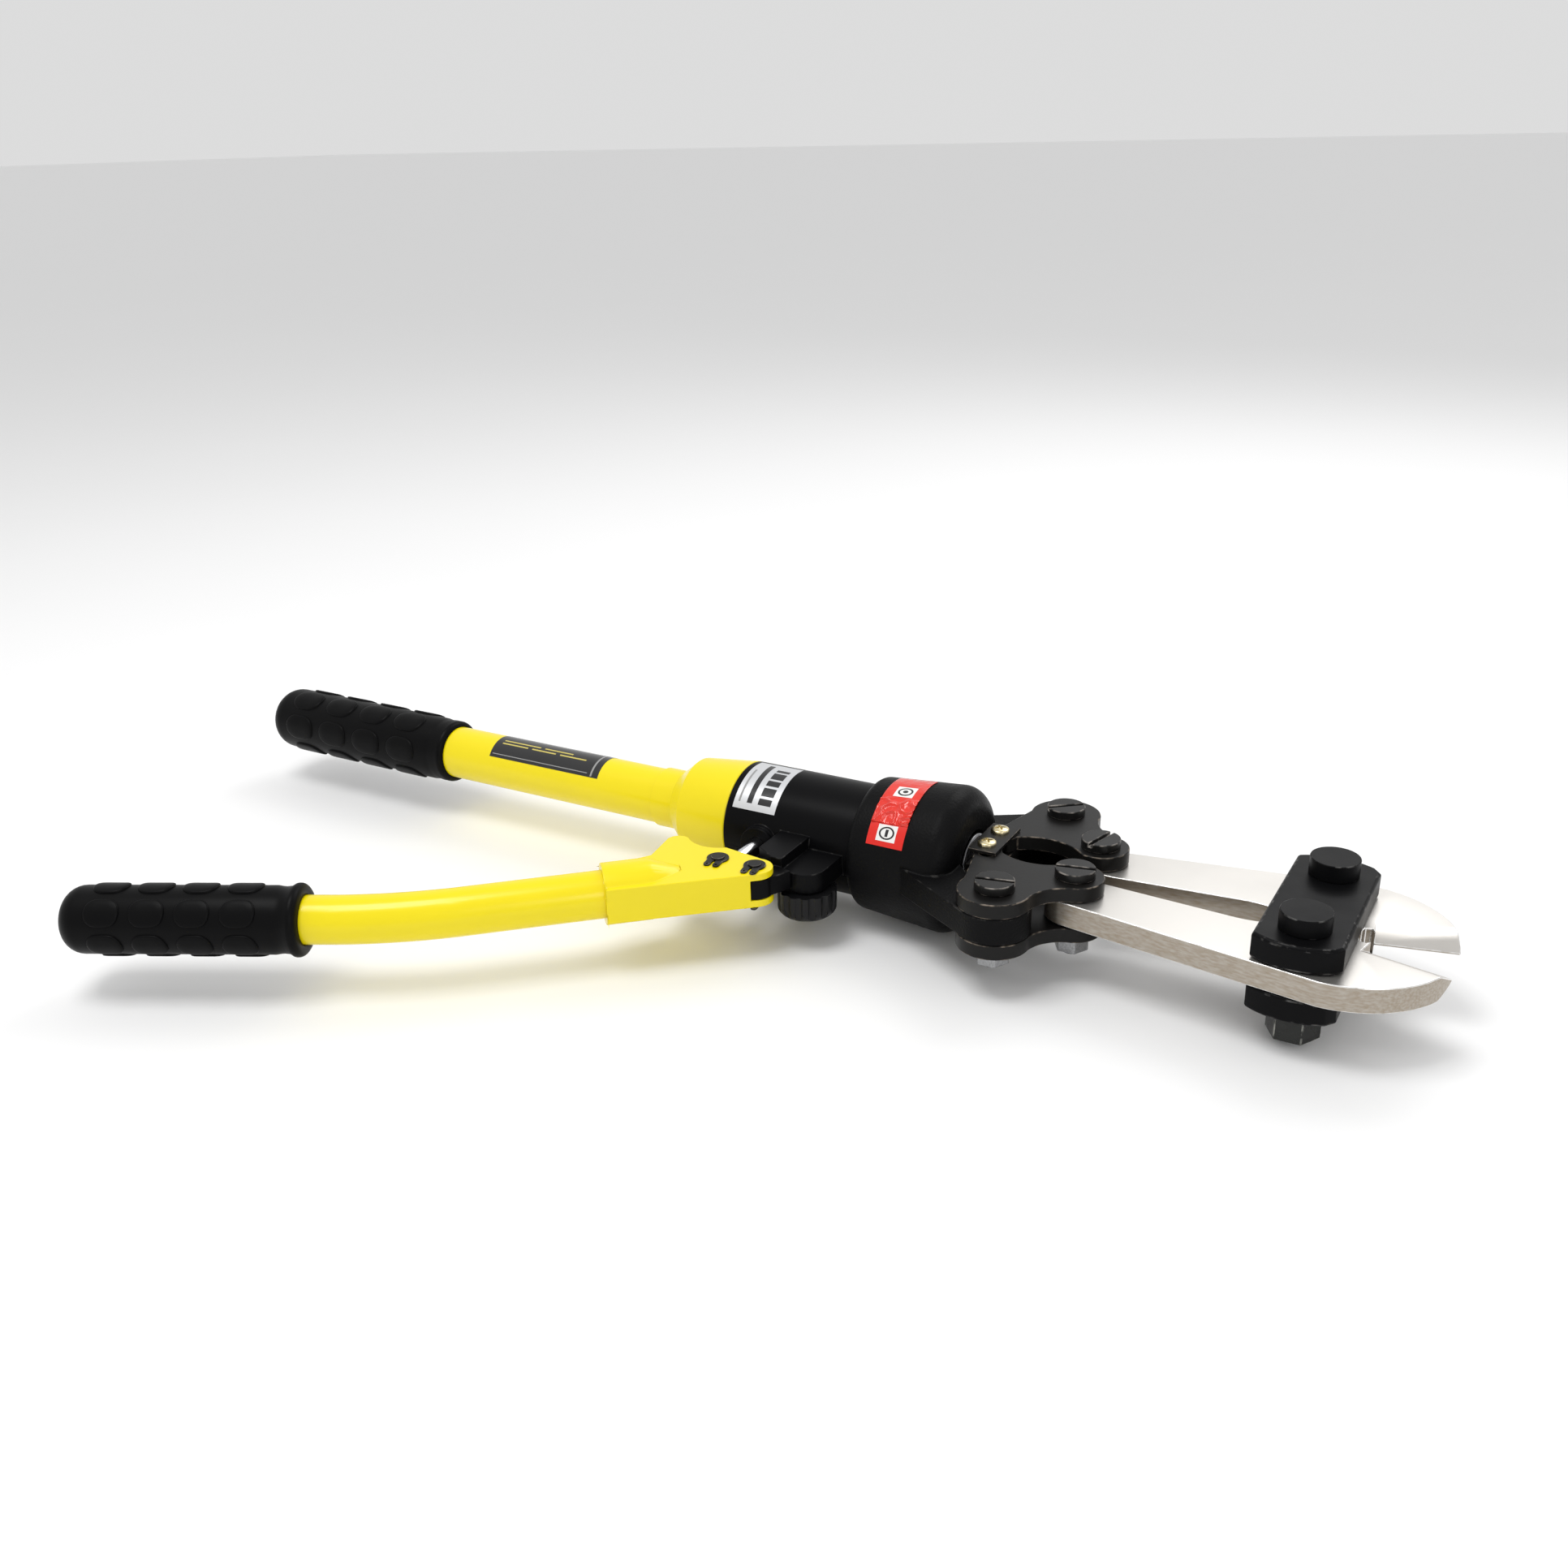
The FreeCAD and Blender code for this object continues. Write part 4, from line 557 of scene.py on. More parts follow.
@dataclass
class RubberGrip:
    """A moulded rubber grip: a sleeve with a rim, and rows of raised pads."""

    name: str
    body: str
    node: str
    radius: float
    rim_radius: float
    bore: float
    pitch: float
    pad_rows: int = 6
    pads: int = 4
    rise: float = 0.9 * MM
    first_turn: float = 0.0
    cap_share: float = 0.62
    rim: float = 3.4 * MM
    turns: int = 96
    squareness: float = 3.4
    pad_corners: int = 48

    def build(self, paint: Paintbox) -> list[bpy.types.Object]:
        """Builds the sleeve and its pads where the CAD sleeve is.

        Args:
            paint: The materials.

        Returns:
            The new pieces.
        """
        low, high = axis_of(bpy.data.objects[self.node])
        length = (high - low).length
        heading = (high - low).normalized()
        turn = Vector((1, 0, 0)).rotation_difference(heading).to_matrix().to_4x4()
        place = Matrix.Translation(low) @ turn
        sleeve = new_piece(f"{self.name}_sleeve", mesh_from(self.name, self.sleeve(length)))
        pads = self.pad_piece(length, paint)
        for piece in (sleeve, pads):
            piece.data.transform(place)
            paint.dress(piece, Surface.GRIP_RUBBER)
            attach(piece, self.body)
        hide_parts(self.node)
        return [sleeve, pads]

    def sleeve(self, length: float) -> bmesh.types.BMesh:
        """Turns the sleeve: rounded end, barrel, waist and rim.

        Args:
            length: Length of the grip.

        Returns:
            The sleeve along X from 0.
        """
        cap = self.radius * self.cap_share
        rim = self.rim
        profile = [(0.0, 0.0), (0.0, (self.radius - cap) * 0.5)]
        profile += round_corner(cap, self.radius - cap, cap, 180, -90, 9)
        waist = length - 3.1 * rim
        profile += [(length * 0.5, self.radius), (waist - 2 * MM, self.radius)]
        profile += [(waist, self.radius - 0.35 * MM), (waist + rim * 0.5, self.radius - 0.5 * MM)]
        profile += [(length - rim * 1.7, self.radius - 0.2 * MM)]
        profile += round_corner(length - rim * 0.9, self.rim_radius - rim * 0.8, rim * 0.8,
                                110, -110, 7)
        profile += [(length, self.bore + 0.6 * MM), (length - 0.8 * MM, self.bore),
                    (length - 20 * MM, self.bore)]
        return lathe(profile, self.turns)

    def pad_mesh(self) -> bpy.types.Mesh:
        """Builds one raised pad at the top of the sleeve's first station.

        Returns:
            A rounded six-sided pad that follows the sleeve's curve.
        """
        shape = bmesh.new()
        half_long = self.pitch * 0.4
        half_wide = math.pi * self.radius / self.pad_rows * 0.8
        crown = self.rise * 1.02
        levels = ((1.0, -0.5 * MM), (0.985, self.rise * 0.45), (0.94, self.rise * 0.85),
                  (0.87, self.rise), (0.55, crown), (0.25, crown))
        rings = []
        count = self.pad_corners
        power = 2 / self.squareness
        for shrink, height in levels:
            ring = []
            for step in range(count):
                angle = 2 * math.pi * step / count
                across = abs(math.cos(angle)) ** power * math.copysign(1, math.cos(angle))
                along = abs(math.sin(angle)) ** power * math.copysign(1, math.sin(angle))
                x = half_long * across * shrink * (1 - 0.2 * abs(along) ** 1.5)
                swing = half_wide * along * shrink / self.radius
                reach = self.radius + height
                ring.append(shape.verts.new((x, reach * math.sin(swing), reach * math.cos(swing))))
            rings.append(ring)
        top = shape.verts.new((0, 0, self.radius + crown))
        for first, second in zip(rings, rings[1:]):
            for step in range(count):
                after = (step + 1) % count
                shape.faces.new((first[step], first[after], second[after], second[step]))
        for step in range(count):
            shape.faces.new((rings[-1][step], rings[-1][(step + 1) % count], top))
        bmesh.ops.recalc_face_normals(shape, faces=shape.faces)
        for face in shape.faces:
            face.smooth = True
        return mesh_from("grip_pad", shape)

    def pad_piece(self, length: float, paint: Paintbox) -> bpy.types.Object:
        """Sets the pads out in rows with geometry nodes.

        Args:
            length: Length of the grip.
            paint: The materials.

        Returns:
            All the pads as one plain mesh along X.
        """
        pad = new_piece(f"{self.name}_one_pad", self.pad_mesh())
        holder = new_piece(f"{self.name}_pad_holder", bpy.data.meshes.new("holder"))
        tree = pad_layout_tree()
        modifier = holder.modifiers.new("pads", "NODES")
        modifier.node_group = tree
        values = {"Pad": pad, "Rows": self.pad_rows, "Pads": self.pads, "Pitch": self.pitch,
                  "Start": (length - self.pitch * (self.pads - 1)) / 2 - 1.5 * MM,
                  "First Turn": self.first_turn, "Material": paint.of(Surface.GRIP_RUBBER)}
        for item in tree.interface.items_tree:
            if item.item_type == "SOCKET" and item.in_out == "INPUT" and item.name in values:
                modifier[item.identifier] = values[item.name]
        bpy.context.view_layer.update()
        graph = bpy.context.evaluated_depsgraph_get()
        mesh = bpy.data.meshes.new_from_object(holder.evaluated_get(graph))
        bpy.data.objects.remove(holder)
        bpy.data.objects.remove(pad)
        return new_piece(f"{self.name}_pads", mesh)


def pad_layout_tree() -> bpy.types.NodeTree:
    """Builds the tree that sets pads out in rows round an axis.

    Returns:
        The geometry node tree.
    """
    found = bpy.data.node_groups.get("pad_layout")
    if found:
        return found
    tree = bpy.data.node_groups.new("pad_layout", "GeometryNodeTree")
    kinds = {"Pad": "NodeSocketObject", "Rows": "NodeSocketInt", "Pads": "NodeSocketInt",
             "Pitch": "NodeSocketFloat", "Start": "NodeSocketFloat",
             "First Turn": "NodeSocketFloat", "Material": "NodeSocketMaterial"}
    for label, kind in kinds.items():
        tree.interface.new_socket(label, in_out="INPUT", socket_type=kind)
    tree.interface.new_socket("Geometry", in_out="OUTPUT", socket_type="NodeSocketGeometry")
    nodes = Nodes(tree)
    entry = nodes.add("NodeGroupInput")
    leave = nodes.add("NodeGroupOutput")
    total = nodes.math("MULTIPLY", entry.outputs["Rows"], entry.outputs["Pads"])
    points = nodes.add("GeometryNodeMeshLine", mode="OFFSET")
    nodes.join(total, points.inputs["Count"])
    points.inputs["Offset"].default_value = (0, 0, 0)
    index = nodes.add("GeometryNodeInputIndex").outputs[0]
    row = nodes.math("FLOOR", nodes.math("DIVIDE", index, entry.outputs["Pads"]), 0)
    number = nodes.math("MODULO", index, entry.outputs["Pads"])
    along = nodes.math("ADD", nodes.math("MULTIPLY", number, entry.outputs["Pitch"]),
                       entry.outputs["Start"])
    spot = nodes.add("ShaderNodeCombineXYZ")
    nodes.join(along, spot.inputs[0])
    moved = nodes.add("GeometryNodeSetPosition")
    nodes.join(points.outputs[0], moved.inputs["Geometry"])
    nodes.join(spot.outputs[0], moved.inputs["Position"])
    slice_angle = nodes.math("DIVIDE", 2 * math.pi, entry.outputs["Rows"])
    angle = nodes.math("ADD", nodes.math("MULTIPLY", row, slice_angle),
                       entry.outputs["First Turn"])
    turn = nodes.add("ShaderNodeCombineXYZ")
    nodes.join(angle, turn.inputs[0])
    source = nodes.add("GeometryNodeObjectInfo", transform_space="ORIGINAL")
    nodes.join(entry.outputs["Pad"], source.inputs["Object"])
    copies = nodes.add("GeometryNodeInstanceOnPoints")
    nodes.join(moved.outputs[0], copies.inputs["Points"])
    nodes.join(source.outputs["Geometry"], copies.inputs["Instance"])
    nodes.join(turn.outputs[0], copies.inputs["Rotation"])
    real = nodes.add("GeometryNodeRealizeInstances")
    nodes.join(copies.outputs[0], real.inputs[0])
    coat = nodes.add("GeometryNodeSetMaterial")
    nodes.join(real.outputs[0], coat.inputs["Geometry"])
    nodes.join(entry.outputs["Material"], coat.inputs["Material"])
    nodes.join(coat.outputs[0], leave.inputs["Geometry"])
    return tree


# Labels


class Outline(Enum):
    """The outline of a printed mark."""

    BAR = "bar"
    DISC = "disc"


@dataclass
class Mark:
    """A plain printed patch, in shares of its label along and round."""

    along: tuple[float, float]
    round_: tuple[float, float]
    surface: Surface
    outline: Outline = Outline.BAR


@dataclass
class WrappedLabel:
    """A thin label that follows a round or coned body."""

    name: str
    start: float
    end: float
    radius_start: float
    radius_end: float
    first_angle: float
    last_angle: float
    surface: Surface
    marks: list[Mark] = field(default_factory=list)
    lift: float = 0.08 * MM
    ripple: float = 0.0
    ripple_end: float = 0.42
    ripple_fade: float = 0.08
    foot: float = 0.01 * MM

    def wrinkle(self, along: float, round_: float) -> float:
        """Finds how far a creased film stands off the body.

        Args:
            along: Share of the way along X.
            round_: Share of the way round.

        Returns:
            The extra height, which fades out past ripple_end.
        """
        fade = min(1.0, max(0.0, (self.ripple_end - round_) / self.ripple_fade))
        layer, sharpness = 4.2, 2.2
        spot = Vector((along * 2.6 + round_ * 3.1, round_ * 7.5 - along * 1.7, layer))
        crease = 1.0 - abs(noise.noise(spot) * sharpness)
        return self.ripple * fade * max(0.0, crease) ** 3

    def point(self, along: float, round_: float, lift: float) -> Vector:
        """Finds a point of the label.

        Args:
            along: Share of the way along X.
            round_: Share of the way round.
            lift: Height above the body.

        Returns:
            The point, in the frame's own axes.
        """
        x = self.start + (self.end - self.start) * along
        radius = self.radius_start + (self.radius_end - self.radius_start) * along + lift
        angle = math.radians(self.first_angle + (self.last_angle - self.first_angle) * round_)
        return Vector((x, -radius * math.cos(angle), radius * math.sin(angle)))

    def build(self, paint: Paintbox) -> bpy.types.Object:
        """Builds the label and its printed marks.

        Args:
            paint: The materials.

        Returns:
            The label, riding on the pump body.
        """
        shape = bmesh.new()
        surfaces = [self.surface] + sorted({m.surface for m in self.marks},
                                           key=lambda item: item.name)
        self.patch(shape, WHOLE, WHOLE, self.lift, 0)
        ink, layer = 0.03, 0.012
        for order, mark in enumerate(self.marks):
            lift = self.lift + (ink + layer * order) * MM
            slot = surfaces.index(mark.surface)
            if mark.outline is Outline.DISC:
                self.disc(shape, mark.along, mark.round_, lift, slot)
            else:
                self.patch(shape, mark.along, mark.round_, lift, slot)
        label = new_piece(self.name, mesh_from(self.name, shape))
        paint.dress(label, *surfaces)
        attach(label, "pump")
        return label

    def disc(self, shape: bmesh.types.BMesh, along: tuple[float, float],
             round_: tuple[float, float], lift: float, slot: int) -> None:
        """Adds one round patch with a thin closed rim.

        Args:
            shape: The mesh that it is added to.
            along: First and last share along X.
            round_: First and last share round.
            lift: Height above the body.
            slot: Material slot.
        """
        steps = 32
        (a, half_a), (r, half_r) = (((low + high) / 2, (high - low) / 2)
                                    for low, high in (along, round_))
        angles = [2 * math.pi * step / steps for step in range(steps)]
        rings = [[shape.verts.new(self.point(a + share * half_a * math.cos(angle),
                                             r + share * half_r * math.sin(angle), level))
                  for angle in angles]
                 for share, level in ((0.5, lift), (1.0, lift), (1.0, self.foot))]
        made = [shape.faces.new(rings[0])]
        for first, second in zip(rings, rings[1:]):
            for step in range(steps):
                after = (step + 1) % steps
                made.append(shape.faces.new(
                    (first[step], second[step], second[after], first[after])))
        made.append(shape.faces.new(rings[-1][::-1]))
        for face in made:
            face.material_index = slot
        bmesh.ops.recalc_face_normals(shape, faces=made)

    def patch(self, shape: bmesh.types.BMesh, along: tuple[float, float],
              round_: tuple[float, float], lift: float, slot: int) -> None:
        """Adds one curved patch with a thin closed rim.

        Args:
            shape: The mesh that it is added to.
            along: First and last share along X.
            round_: First and last share round.
            lift: Height above the body.
            slot: Material slot.
        """
        creased = self.ripple > 0 and slot == 0
        across, steps_round = (48, 160) if creased else (1, 40)
        steps = max(3, round(steps_round * (round_[1] - round_[0])))
        top, low = [], []
        for station in range(across + 1):
            a = along[0] + (along[1] - along[0]) * station / across
            rounds = [round_[0] + (round_[1] - round_[0]) * step / steps
                      for step in range(steps + 1)]
            rise = [self.wrinkle(a, r) if creased else 0.0 for r in rounds]
            top.append([shape.verts.new(self.point(a, r, lift + more))
                        for r, more in zip(rounds, rise)])
            low.append([shape.verts.new(self.point(a, r, self.foot)) for r in rounds])
        faces = []
        for one in range(across):
            for step in range(steps):
                faces.append((top[one][step], top[one][step + 1],
                              top[one + 1][step + 1], top[one + 1][step]))
                faces.append((low[one][step], low[one + 1][step],
                              low[one + 1][step + 1], low[one][step + 1]))
            for end in (0, steps):
                faces.append((top[one][end], top[one + 1][end],
                              low[one + 1][end], low[one][end]))
        for end in (0, across):
            for step in range(steps):
                faces.append((top[end][step], low[end][step],
                              low[end][step + 1], top[end][step + 1]))
        made = [shape.faces.new(corners) for corners in faces]
        for face in made:
            face.material_index = slot
            face.smooth = creased
        bmesh.ops.recalc_face_normals(shape, faces=made)


# Sub-assemblies


@dataclass
class SoftenedSet:
    """CAD nodes shown as copies with broken edges."""

    edge: float
    segments: int
    nodes: dict[str, Surface]
    body_of: dict[str, str]

    def build(self, paint: Paintbox) -> list[bpy.types.Object]:
        """Builds and dresses each copy.

        Args:
            paint: The materials.

        Returns:
            The copies.
        """
        made = []
        for node, surface in self.nodes.items():
            piece = soften(bpy.data.objects[node], f"{node}_finished", self.edge,
                           self.segments)
            paint.dress(piece, surface)
            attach(piece, self.body_of[node])
            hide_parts(node)
            made.append(piece)
        return made


@dataclass
class PumpLabels:
    """The labels of the tool, with plain bars and rings in place of print."""

    head_rise: float = 2.8 * MM
    head_run: float = 35.5 * MM
    plate_start: float = 17.2 * MM
    plate_length: float = 22.2 * MM
    red_start: float = 10 * MM
    red_length: float = 18 * MM
    red_lead: float = 6 * MM
    tube_start: float = 30 * MM
    tube_length: float = 68 * MM

    def build(self, paint: Paintbox) -> list[bpy.types.Object]:
        """Builds the maker's plate, the warning label and the tube label.

        Args:
            paint: The materials.

        Returns:
            The labels.
        """
        neck_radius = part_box("reservoir_neck")[1].z
        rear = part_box("pump_body")[0].x + self.plate_start
        black, white = Surface.LABEL_BLACK, Surface.LABEL_WHITE
        grey, yellow = Surface.LABEL_GREY, Surface.LABEL_YELLOW
        bars = ((0.1, 0.2), (0.24, 0.38), (0.42, 0.52), (0.56, 0.7), (0.74, 0.8))
        plate = WrappedLabel(
            "maker_plate", rear, rear + self.plate_length, neck_radius, neck_radius, 32, 103,
            Surface.LABEL_SILVER,
            [Mark((0.56, 0.86), bar, black) for bar in bars]
            + [Mark((0.3, 0.42), (0.1, 0.9), black),
               Mark((0.1, 0.14), (0.1, 0.7), grey)])
        head_low, head_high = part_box("fork_head")
        start = head_low.x + self.red_start
        slope = self.head_rise / self.head_run
        clearance = 0.05 * MM
        low = head_high.z - self.head_rise + slope * self.red_lead + clearance
        high = low + slope * self.red_length
        end = start + self.red_length
        lower = WrappedLabel(
            "warning_label", start, end, low, high, 25, 46, Surface.LABEL_RED,
            [Mark((0.24, 0.76), (0.2, 0.84), white),
             Mark((0.29, 0.71), (0.27, 0.77), black, Outline.DISC),
             Mark((0.34, 0.66), (0.33, 0.71), white, Outline.DISC),
             Mark((0.46, 0.54), (0.38, 0.66), black)])
        upper = WrappedLabel(
            "warning_film", start, end, low, high, 43.6, 103, Surface.LABEL_FILM,
            [Mark((0.26, 0.78), (0.44, 0.66), white),
             Mark((0.32, 0.72), (0.465, 0.635), black, Outline.DISC),
             Mark((0.37, 0.67), (0.49, 0.61), white, Outline.DISC),
             Mark((0.45, 0.59), (0.52, 0.58), black, Outline.DISC)],
            lift=0.35 * MM, ripple=1.1 * MM)
        tube_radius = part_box("handle_tube")[1].z
        tube_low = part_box("handle_grip")[1].x + self.tube_start
        first_row, second_row = (0.3, 0.33), (0.38, 0.41)
        dashes = (((0.06, 0.3), first_row), ((0.34, 0.56), first_row), ((0.6, 0.84), first_row),
                  ((0.06, 0.4), second_row), ((0.44, 0.7), second_row))
        tube = WrappedLabel(
            "tube_label", tube_low, tube_low + self.tube_length, tube_radius, tube_radius,
            33, 150, black,
            [Mark((0.02, 0.9), (0.06, 0.075), grey),
             Mark((0.93, 0.945), (0.02, 0.98), grey)]
            + [Mark(dash, row, yellow) for dash, row in dashes])
        return [label.build(paint) for label in (plate, lower, upper, tube)]


@dataclass
class ReturnSpring:
    """The ram's return spring, which is pressed together as the ram comes forward."""

    stroke: float = 23.7 * MM
    edge: float = 0.02 * MM

    def build(self, paint: Paintbox) -> bpy.types.Object:
        """Builds the spring as a copy with broken edges and a mesh of its own.

        Args:
            paint: The materials.

        Returns:
            The spring.
        """
        spring = soften(bpy.data.objects["return_spring"], "pressed_spring", self.edge)
        paint.dress(spring, Surface.SPRING_STEEL)
        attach(spring, "pump")
        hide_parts("return_spring")
        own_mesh(spring)
        return spring


@dataclass
class CrossHeadScrews:
    """The four pan-head screws of the retaining plates, with cross recesses."""

    head: float = 4.1 * MM
    height: float = 2.0 * MM
    shank: float = 1.7 * MM
    recess: float = 1.5 * MM
    length: float = 7 * MM
    dome: float = 0.42
    brim: float = 0.94
    brim_drop: float = 0.2
    cross: float = 0.6
    arm_half: float = 0.55 * MM
    tilt: float = math.radians(35)
    turns: int = 72
    rings: int = 26

    def surface_height(self, x: float, y: float) -> float:
        """Finds how high the head stands.

        Args:
            x: Offset from the screw's axis.
            y: Offset from the screw's axis.

        Returns:
            The height of the domed head, less the cross recess.
        """
        share = min(1.0, math.hypot(x, y) / self.head)
        level = self.height * (1 - self.dome * share ** 3)
        if share > self.brim:
            level -= self.height * self.brim_drop * (share - self.brim) / (1 - self.brim)
        reach = self.head * self.cross
        if max(abs(x), abs(y)) > reach or min(abs(x), abs(y)) > self.arm_half:
            return level
        return level - self.recess * (1 - 0.5 * math.hypot(x, y) / reach)

    def build(self, paint: Paintbox) -> bpy.types.Object:
        """Builds the screws where the CAD screws are.

        Args:
            paint: The materials.

        Returns:
            The screws as one piece.
        """
        low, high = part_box("retaining_screws")
        shape = bmesh.new()
        for y in (low.y + self.head, high.y - self.head):
            for up in (1, -1):
                place = Vector(((low.x + high.x) / 2, y, high.z - self.height))
                self.add(shape, place, up)
        bmesh.ops.recalc_face_normals(shape, faces=shape.faces)
        piece = new_piece("cross_head_screws", mesh_from("cross_head_screws", shape))
        piece.data.set_sharp_from_angle(angle=math.radians(40))
        paint.dress(piece, Surface.YELLOW_ZINC)
        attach(piece, "ram")
        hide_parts("retaining_screws")
        return piece

    def add(self, shape: bmesh.types.BMesh, place: Vector, up: int) -> None:
        """Adds one screw.

        Args:
            shape: The mesh that it is added to.
            place: Centre of the head's seat on the upper side.
            up: 1 for an upper screw, -1 for its mirror image below.
        """
        turns, tilt = self.turns, self.tilt
        angles = [2 * math.pi * step / turns for step in range(turns)]
        rows = []
        for ring in range(1, self.rings + 1):
            reach = self.head * ring / self.rings
            row = []
            for angle in angles:
                x, y = reach * math.cos(angle), reach * math.sin(angle)
                z = self.surface_height(x, y)
                spot = (x * math.cos(tilt) - y * math.sin(tilt) + place.x,
                        x * math.sin(tilt) + y * math.cos(tilt) + place.y, (z + place.z) * up)
                row.append(shape.verts.new(spot))
            rows.append(row)
        for reach, drop in ((self.head, 0.0), (self.shank, 0.0), (self.shank, -self.length)):
            rows.append([shape.verts.new((place.x + reach * math.cos(angle + tilt),
                                          place.y + reach * math.sin(angle + tilt),
                                          (place.z + drop) * up)) for angle in angles])
        top = shape.verts.new((place.x, place.y, (place.z + self.surface_height(0, 0)) * up))
        for step in range(turns):
            shape.faces.new((top, rows[0][step], rows[0][(step + 1) % turns])).smooth = True
        for first, second in zip(rows, rows[1:]):
            for step in range(turns):
                after = (step + 1) % turns
                face = shape.faces.new((first[step], second[step], second[after], first[after]))
                face.smooth = True
        shape.faces.new(rows[-1])


@dataclass(frozen=True)
class SoftLight:
    """A square area light that is aimed at the tool."""

    name: str
    place: tuple[float, float, float]
    width: float
    power: float


LIGHTS = (SoftLight("key", (-0.5, -0.4, 1.3), 0.6, 8),
          SoftLight("fill", (0.9, -0.9, 0.7), 0.5, 2.5),
          SoftLight("back", (-0.1, 1.0, 1.0), 0.8, 5))


@dataclass
class Stage:
    """Floor, lights and camera."""

    camera_place: tuple[float, float, float] = (0.0597, -0.57061, 0.30015)
    camera_right: tuple[float, float, float] = (0.868453, 0.495276, -0.022145)
    camera_up: tuple[float, float, float] = (-0.176085, 0.349900, 0.920089)
    lens: float = 35.35
    sensor: float = 36.0
    floor_half: float = 30
    sky: float = 0.72
    aim: tuple[float, float, float] = (-0.15, 0, 0)

    def build(self, paint: Paintbox, low: float) -> None:
        """Builds the stage.

        Args:
            paint: The materials.
            low: Height of the floor.
        """
        shape = bmesh.new()
        bmesh.ops.create_grid(shape, x_segments=1, y_segments=1, size=self.floor_half)
        floor = new_piece("floor", mesh_from("floor", shape))
        floor.data.transform(Matrix.Translation((0, 0, low)))
        paint.dress(floor, Surface.FLOOR)
        floor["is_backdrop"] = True
        self.add_lights()
        self.add_camera()

    def add_lights(self) -> None:
        """Adds the soft lights and a pale sky."""
        world = bpy.data.worlds.new("studio")
        world.use_nodes = True
        backdrop = world.node_tree.nodes["Background"]
        backdrop.inputs["Color"].default_value = (1, 1, 1, 1)
        backdrop.inputs["Strength"].default_value = self.sky
        bpy.context.scene.world = world
        bpy.context.scene.view_settings.view_transform = "Standard"
        for soft in LIGHTS:
            light = bpy.data.lights.new(soft.name, "AREA")
            light.size = soft.width
            light.energy = soft.power
            lamp = new_piece(soft.name, light)
            lamp.location = soft.place
            aim = Vector(self.aim) - Vector(soft.place)
            lamp.rotation_euler = aim.to_track_quat("-Z", "Y").to_euler()

    def add_camera(self) -> None:
        """Adds the camera."""
        data = bpy.data.cameras.new("view")
        data.lens = self.lens
        data.sensor_width = self.sensor
        camera = new_piece("view", data)
        right = Vector(self.camera_right)
        up = Vector(self.camera_up)
        back = right.cross(up)
        turn = Matrix((right, up, back)).transposed().to_4x4()
        camera.matrix_world = Matrix.Translation(self.camera_place) @ turn
        bpy.context.scene.camera = camera


CARRIED = {
    "tube_end_plug": Surface.SATIN_BLACK, "oil_bladder": Surface.SEAL_RUBBER,
    "ram_guide_bush": Surface.BRONZE, "cylinder_seal": Surface.SEAL_RUBBER,
    "valve_balls": Surface.CHROME, "valve_plugs": Surface.SATIN_BLACK,
    "plunger_seal": Surface.SEAL_RUBBER, "release_spindle": Surface.CHROME,
    "piston_seal": Surface.SEAL_RUBBER,
}
PAINTED = {
    "reservoir_neck": Surface.YELLOW_PAINT, "handle_tube": Surface.YELLOW_PAINT,
    "lever_tube": Surface.YELLOW_PAINT,
    "plunger_gland": Surface.SATIN_BLACK, "release_knob": Surface.KNOB_BLACK,
    "ram_piston": Surface.SPRING_STEEL, "pump_plunger": Surface.CHROME,
    "fulcrum_pin": Surface.BOLT_STEEL, "plunger_pin": Surface.BOLT_STEEL,
    "circlips": Surface.BOLT_STEEL,
    "yoke_pins": Surface.CHROME, "retaining_plate_top": Surface.BLACK_PLATE,
    "retaining_plate_bottom": Surface.BLACK_PLATE,
}
CAST = {"fork_head": Surface.CAST_BLACK}
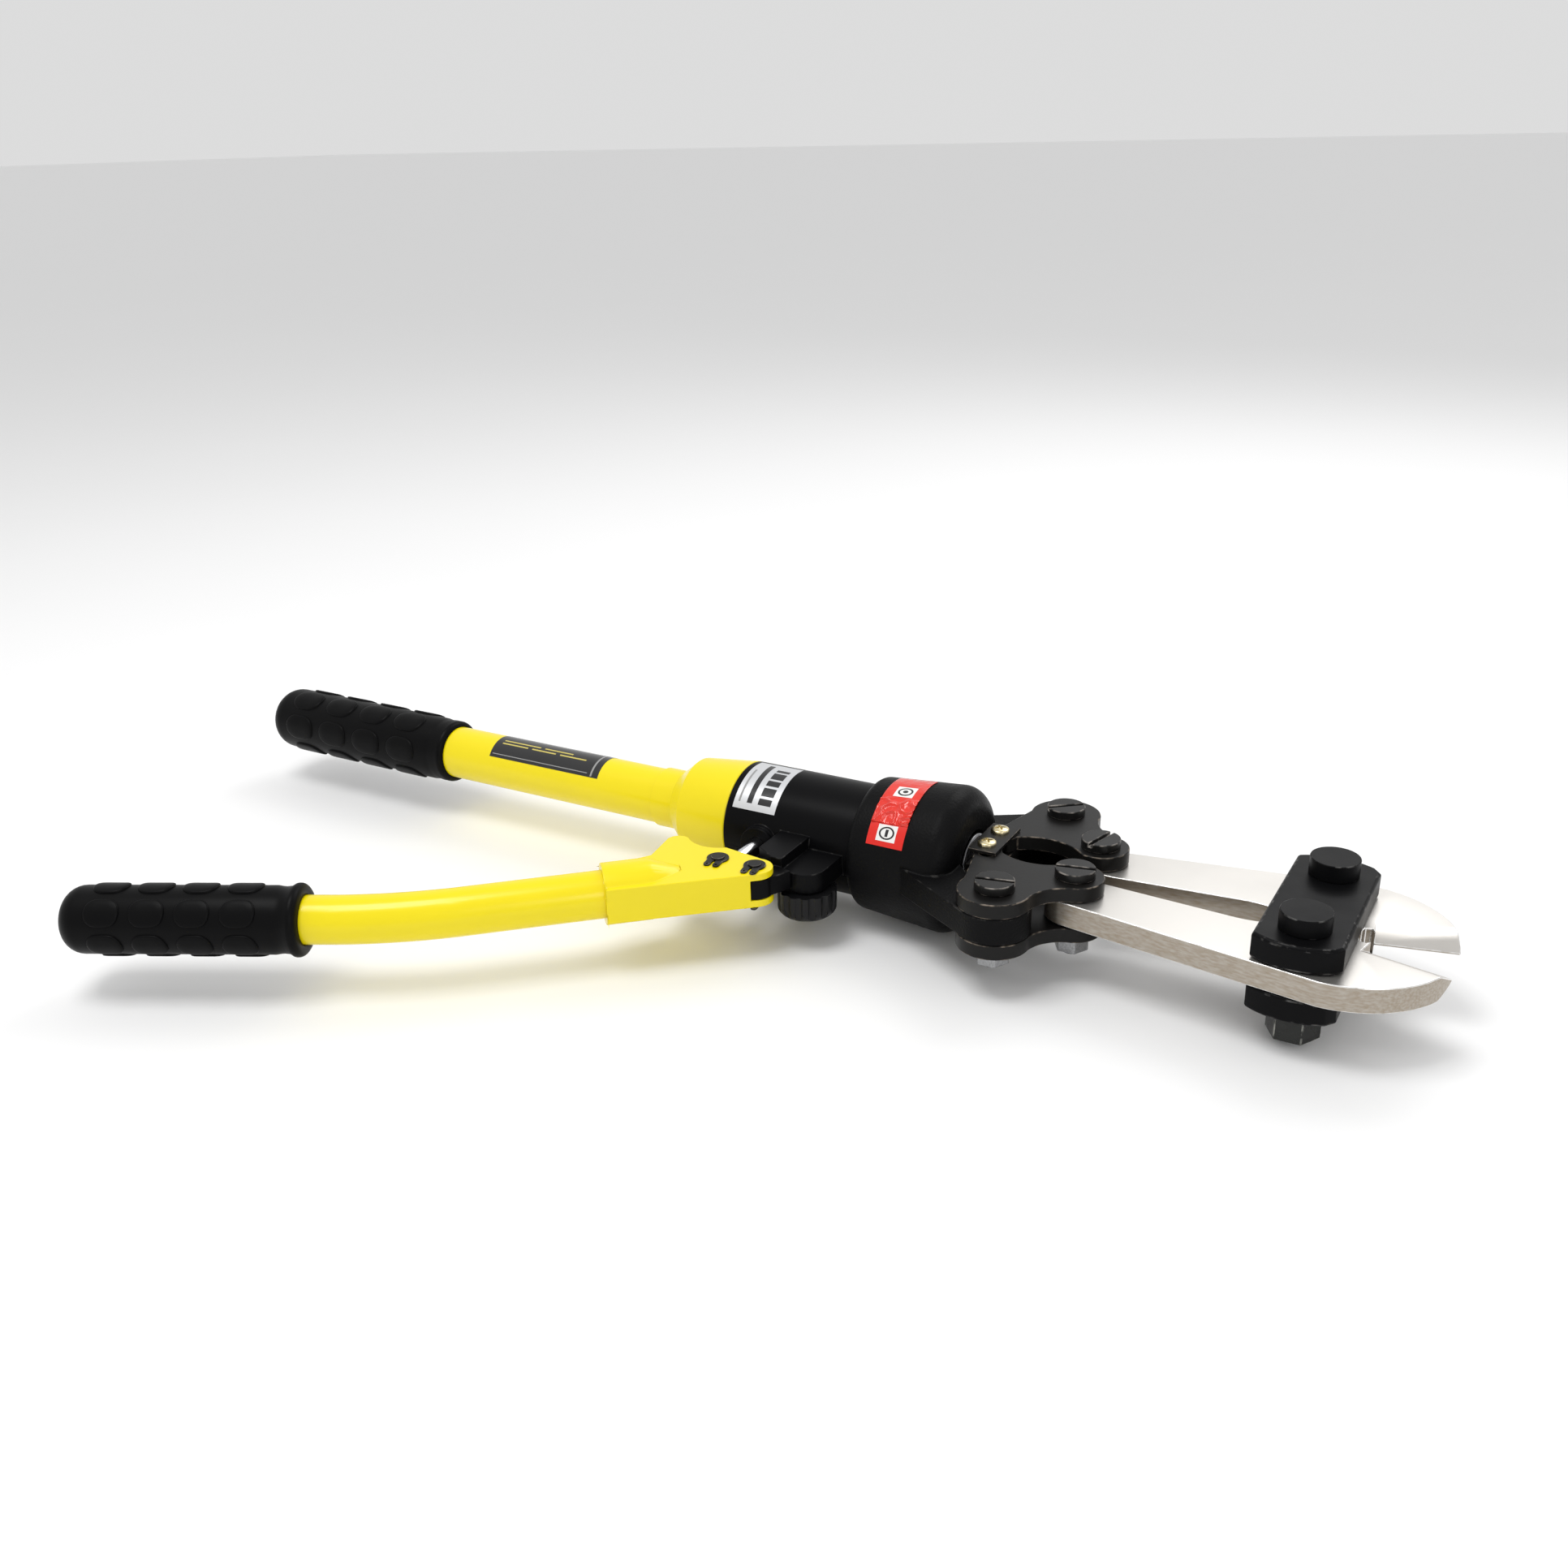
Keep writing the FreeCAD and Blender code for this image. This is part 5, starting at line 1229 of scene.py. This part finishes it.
HEAVY = {
    "lever_fork": Surface.YELLOW_PAINT,
    "pump_body": Surface.SATIN_BLACK,
    "yoke": Surface.BLACK_PLATE, "ear_bolts": Surface.BOLT_STEEL,
    "ear_nuts": Surface.ZINC_NUT, "near_blade": Surface.BLADE_STEEL,
    "far_blade": Surface.BLADE_STEEL, "top_link_plate": Surface.LINK_STEEL,
    "bottom_link_plate": Surface.LINK_STEEL, "pivot_bolts": Surface.LINK_STEEL,
    "pivot_nuts": Surface.DARK_NUT,
}
CRANK = {
    "top_plate": Surface.BLACK_PLATE, "nut": Surface.ZINC_NUT,
    "bottom_plate": Surface.BLACK_PLATE, "bolt": Surface.BOLT_STEEL,
}
CAST_EDGE, HEAVY_EDGE, FINE_EDGE = 0.8 * MM, 0.45 * MM, 0.2 * MM


def main() -> None:
    """Builds every sub-assembly in order and reports each piece."""
    logging.basicConfig(level=logging.INFO, format="%(message)s")
    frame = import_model()
    cad_box = [list(corner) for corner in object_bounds()]
    body_of = {node: body for body, members in
               frame["record"]["behaviour"]["bodies"].items() for node in members}
    cranks = {f"{side.value}_crank_{part}": surface
              for side in Side for part, surface in CRANK.items()}
    paint = Paintbox()
    for node, surface in CARRIED.items():
        paint.dress(frame["nodes"][node], surface)
    pieces = SoftenedSet(CAST_EDGE, 3, CAST, body_of).build(paint)
    pieces += SoftenedSet(HEAVY_EDGE, 2, HEAVY | cranks, body_of).build(paint)
    pieces += SoftenedSet(FINE_EDGE, 2, PAINTED, body_of).build(paint)
    tube_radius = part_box("handle_tube")[1].z
    grip_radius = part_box("handle_grip")[1].z
    pieces += RubberGrip("main_grip", "pump", "handle_grip", grip_radius - 0.8 * MM,
                         grip_radius - 1.0 * MM, tube_radius, 24.5 * MM,
                         first_turn=math.radians(22)).build(paint)
    lever_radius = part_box("lever_tube")[1].z
    lever_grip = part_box("lever_grip")[1].z
    pieces += RubberGrip("lever_grip", "lever", "lever_grip", lever_grip - 0.8 * MM,
                         lever_grip + 0.3 * MM, lever_radius, 19.1 * MM,
                         first_turn=math.radians(52)).build(paint)
    pieces += PumpLabels().build(paint)
    pieces.append(CrossHeadScrews().build(paint))
    pieces.append(ReturnSpring().build(paint))
    Stage().build(paint, cad_box[0][2])
    for piece in pieces:
        LOG.info("%s: %d faces", piece.name, len(piece.data.polygons))


if __name__ == "__main__":
    main()
